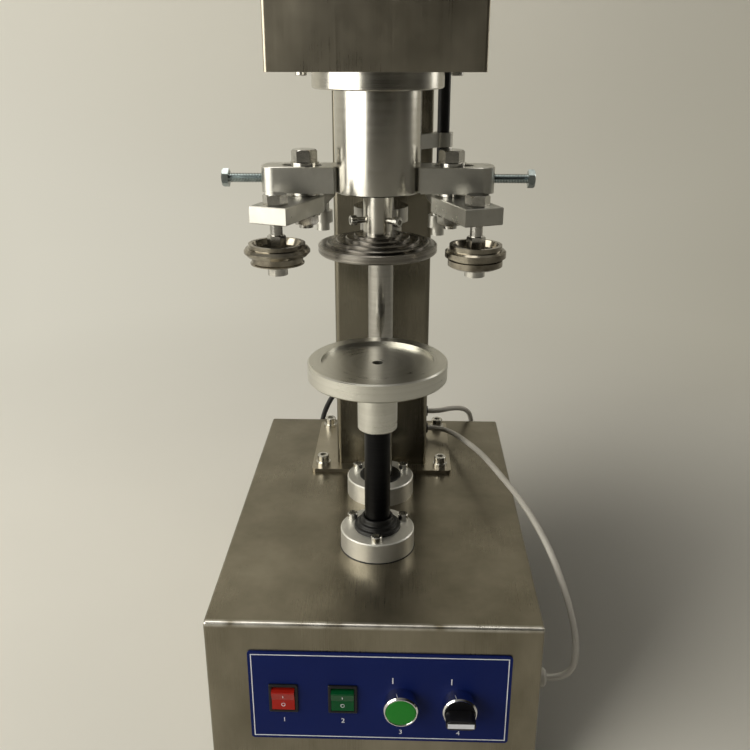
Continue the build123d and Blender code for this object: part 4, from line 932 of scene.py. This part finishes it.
def make_floor():
    """A pale floor whose back edge curls up and forward, into a wall close behind the machine."""
    bpy.ops.object.select_all(action="DESELECT")
    bpy.ops.mesh.primitive_plane_add(size=1.0)
    floor = bpy.context.object
    floor.name = "studio_floor"
    floor.scale = (FLOOR_WIDTH, FLOOR_DEPTH, 1.0)
    floor.location = (0.0, FLOOR_BACK - FLOOR_DEPTH / 2, 0.0)
    bpy.ops.object.transform_apply(location=True, rotation=True, scale=True)
    mesh = floor.data
    for vertex in mesh.vertices:
        vertex.select = vertex.co.y > 0.0
    for part in (*mesh.edges, *mesh.polygons):
        part.select = all(mesh.vertices[index].select for index in part.vertices)
    bpy.ops.object.mode_set(mode="EDIT")
    bpy.ops.mesh.spin(
        steps=16, angle=math.radians(90), center=(0, FLOOR_BACK, SWEEP_RADIUS), axis=(1, 0, 0))
    bpy.ops.mesh.extrude_region_move(TRANSFORM_OT_translate={"value": (0, 0, WALL_HEIGHT)})
    bpy.ops.object.mode_set(mode="OBJECT")
    bpy.ops.object.shade_smooth()
    finish = Finish("Studio floor", roughness=0.9)
    tree = finish.tree
    tone = ramp(tree, noise(tree, finish.place, 1.2, 3.0), 0.3, 0.7)
    colour = colour_mix(tree, tone, (0.74, 0.72, 0.66), (0.80, 0.78, 0.72))
    finish.feed("Base Color", colour)
    x, y, _ = split_vector(tree, finish.place)
    radius = flat_radius(tree, x, y)
    behind = ramp(tree, y, *MIRROR_FADE)
    around = ramp(tree, radius, *CAMERA_FADE)
    for fade in (behind, around):
        fade.node.interpolation_type = "SMOOTHSTEP"
    path = tree.nodes.new("ShaderNodeLightPath")
    mirrored = math_node(
        tree, "ADD", path.outputs["Is Glossy Ray"], path.outputs["Is Transmission Ray"], clamp=True)
    in_mirror = math_node(tree, "MULTIPLY", behind, mirrored)
    in_view = math_node(tree, "MULTIPLY", around, path.outputs["Is Camera Ray"])
    shown = math_node(tree, "ADD", in_mirror, in_view, clamp=True)
    reach = math_node(tree, "ADD", radius, 1.0)
    right, back = (math_node(tree, "DIVIDE", part, reach) for part in (x, y))
    glow = tree.nodes.new("ShaderNodeEmission")
    # The glow shows the backdrop with its painted shade, darker at the back right, in view and in the metal's
    # reflections
    tree.links.new(backdrop_colour(tree, right, back), glow.inputs["Color"])
    blend_shaders(tree, shown, finish.shader, glow, tree.nodes["Material Output"])
    mesh.materials.append(finish.material)


def make_world():
    """A pale room, dim towards the front right, where the photograph's metal shows dark bands."""
    world = bpy.data.worlds.new("Studio room")
    bpy.context.scene.world = world
    world.use_nodes = True
    tree = world.node_tree
    background = tree.nodes["Background"]
    place = tree.nodes.new("ShaderNodeTexCoord").outputs["Generated"]
    towards = tree.nodes.new("ShaderNodeVectorMath")
    towards.operation = "DOT_PRODUCT"
    towards.inputs[1].default_value = DIM_SIDE
    tree.links.new(place, towards.inputs[0])
    dim = ramp(tree, towards.outputs["Value"], 0.10, 0.75)
    colour = colour_mix(tree, dim, (0.82, 0.79, 0.70), (0.03, 0.027, 0.02))
    tree.links.new(colour, background.inputs["Color"])
    background.inputs["Strength"].default_value = ROOM_STRENGTH
    right, back, _ = split_vector(tree, place)
    plain = tree.nodes.new("ShaderNodeBackground")
    # Seen straight on, the room shows the same backdrop with its painted shade
    tree.links.new(backdrop_colour(tree, right, back), plain.inputs["Color"])
    seen = tree.nodes.new("ShaderNodeLightPath").outputs["Is Camera Ray"]
    blend_shaders(tree, seen, background, plain, tree.nodes["World Output"])


def make_softbox(name, place, width, height, power, tint):
    """A soft rectangular lamp aimed at the machine's middle."""
    lamp = bpy.data.lights.new(name, "AREA")
    lamp.shape = "RECTANGLE"
    lamp.size = width
    lamp.size_y = height
    lamp.energy = power
    lamp.color = tint
    box = bpy.data.objects.new(name, lamp)
    bpy.context.scene.collection.objects.link(box)
    box.location = place
    box.rotation_euler = (Vector(LIGHT_TARGET) - Vector(place)).to_track_quat("-Z", "Y").to_euler()


def make_camera():
    """The camera at the photograph's place and angle, for a square picture."""
    lens = bpy.data.cameras.new("Photo camera")
    lens.sensor_width = CAMERA_SENSOR
    lens.lens = CAMERA_LENS
    camera = bpy.data.objects.new("Photo camera", lens)
    bpy.context.scene.collection.objects.link(camera)
    camera.location = CAMERA_PLACE
    camera.rotation_euler = (math.radians(90.0 - CAMERA_DROP), 0.0, math.radians(CAMERA_TURN))
    bpy.context.scene.camera = camera


make_floor()
make_world()
make_softbox("left_softbox", place=(-1.7, -1.1, 0.95), width=2.4, height=1.6, power=45.0, tint=WINDOW_WHITE)
make_softbox("right_softbox", place=(1.7, 0.7, 1.1), width=0.6, height=1.2, power=6.0, tint=WARM_WHITE)
# The floor's wall stands between this lamp and the machine
make_softbox("rear_softbox", place=(0.3, 1.7, 2.0), width=1.3, height=1.3, power=14.0, tint=WARM_WHITE)
make_softbox("top_softbox", place=(-0.3, 0.1, 2.2), width=1.4, height=1.4, power=15.0, tint=WARM_WHITE)
make_camera()
bpy.context.scene.view_settings.view_transform = "Standard"
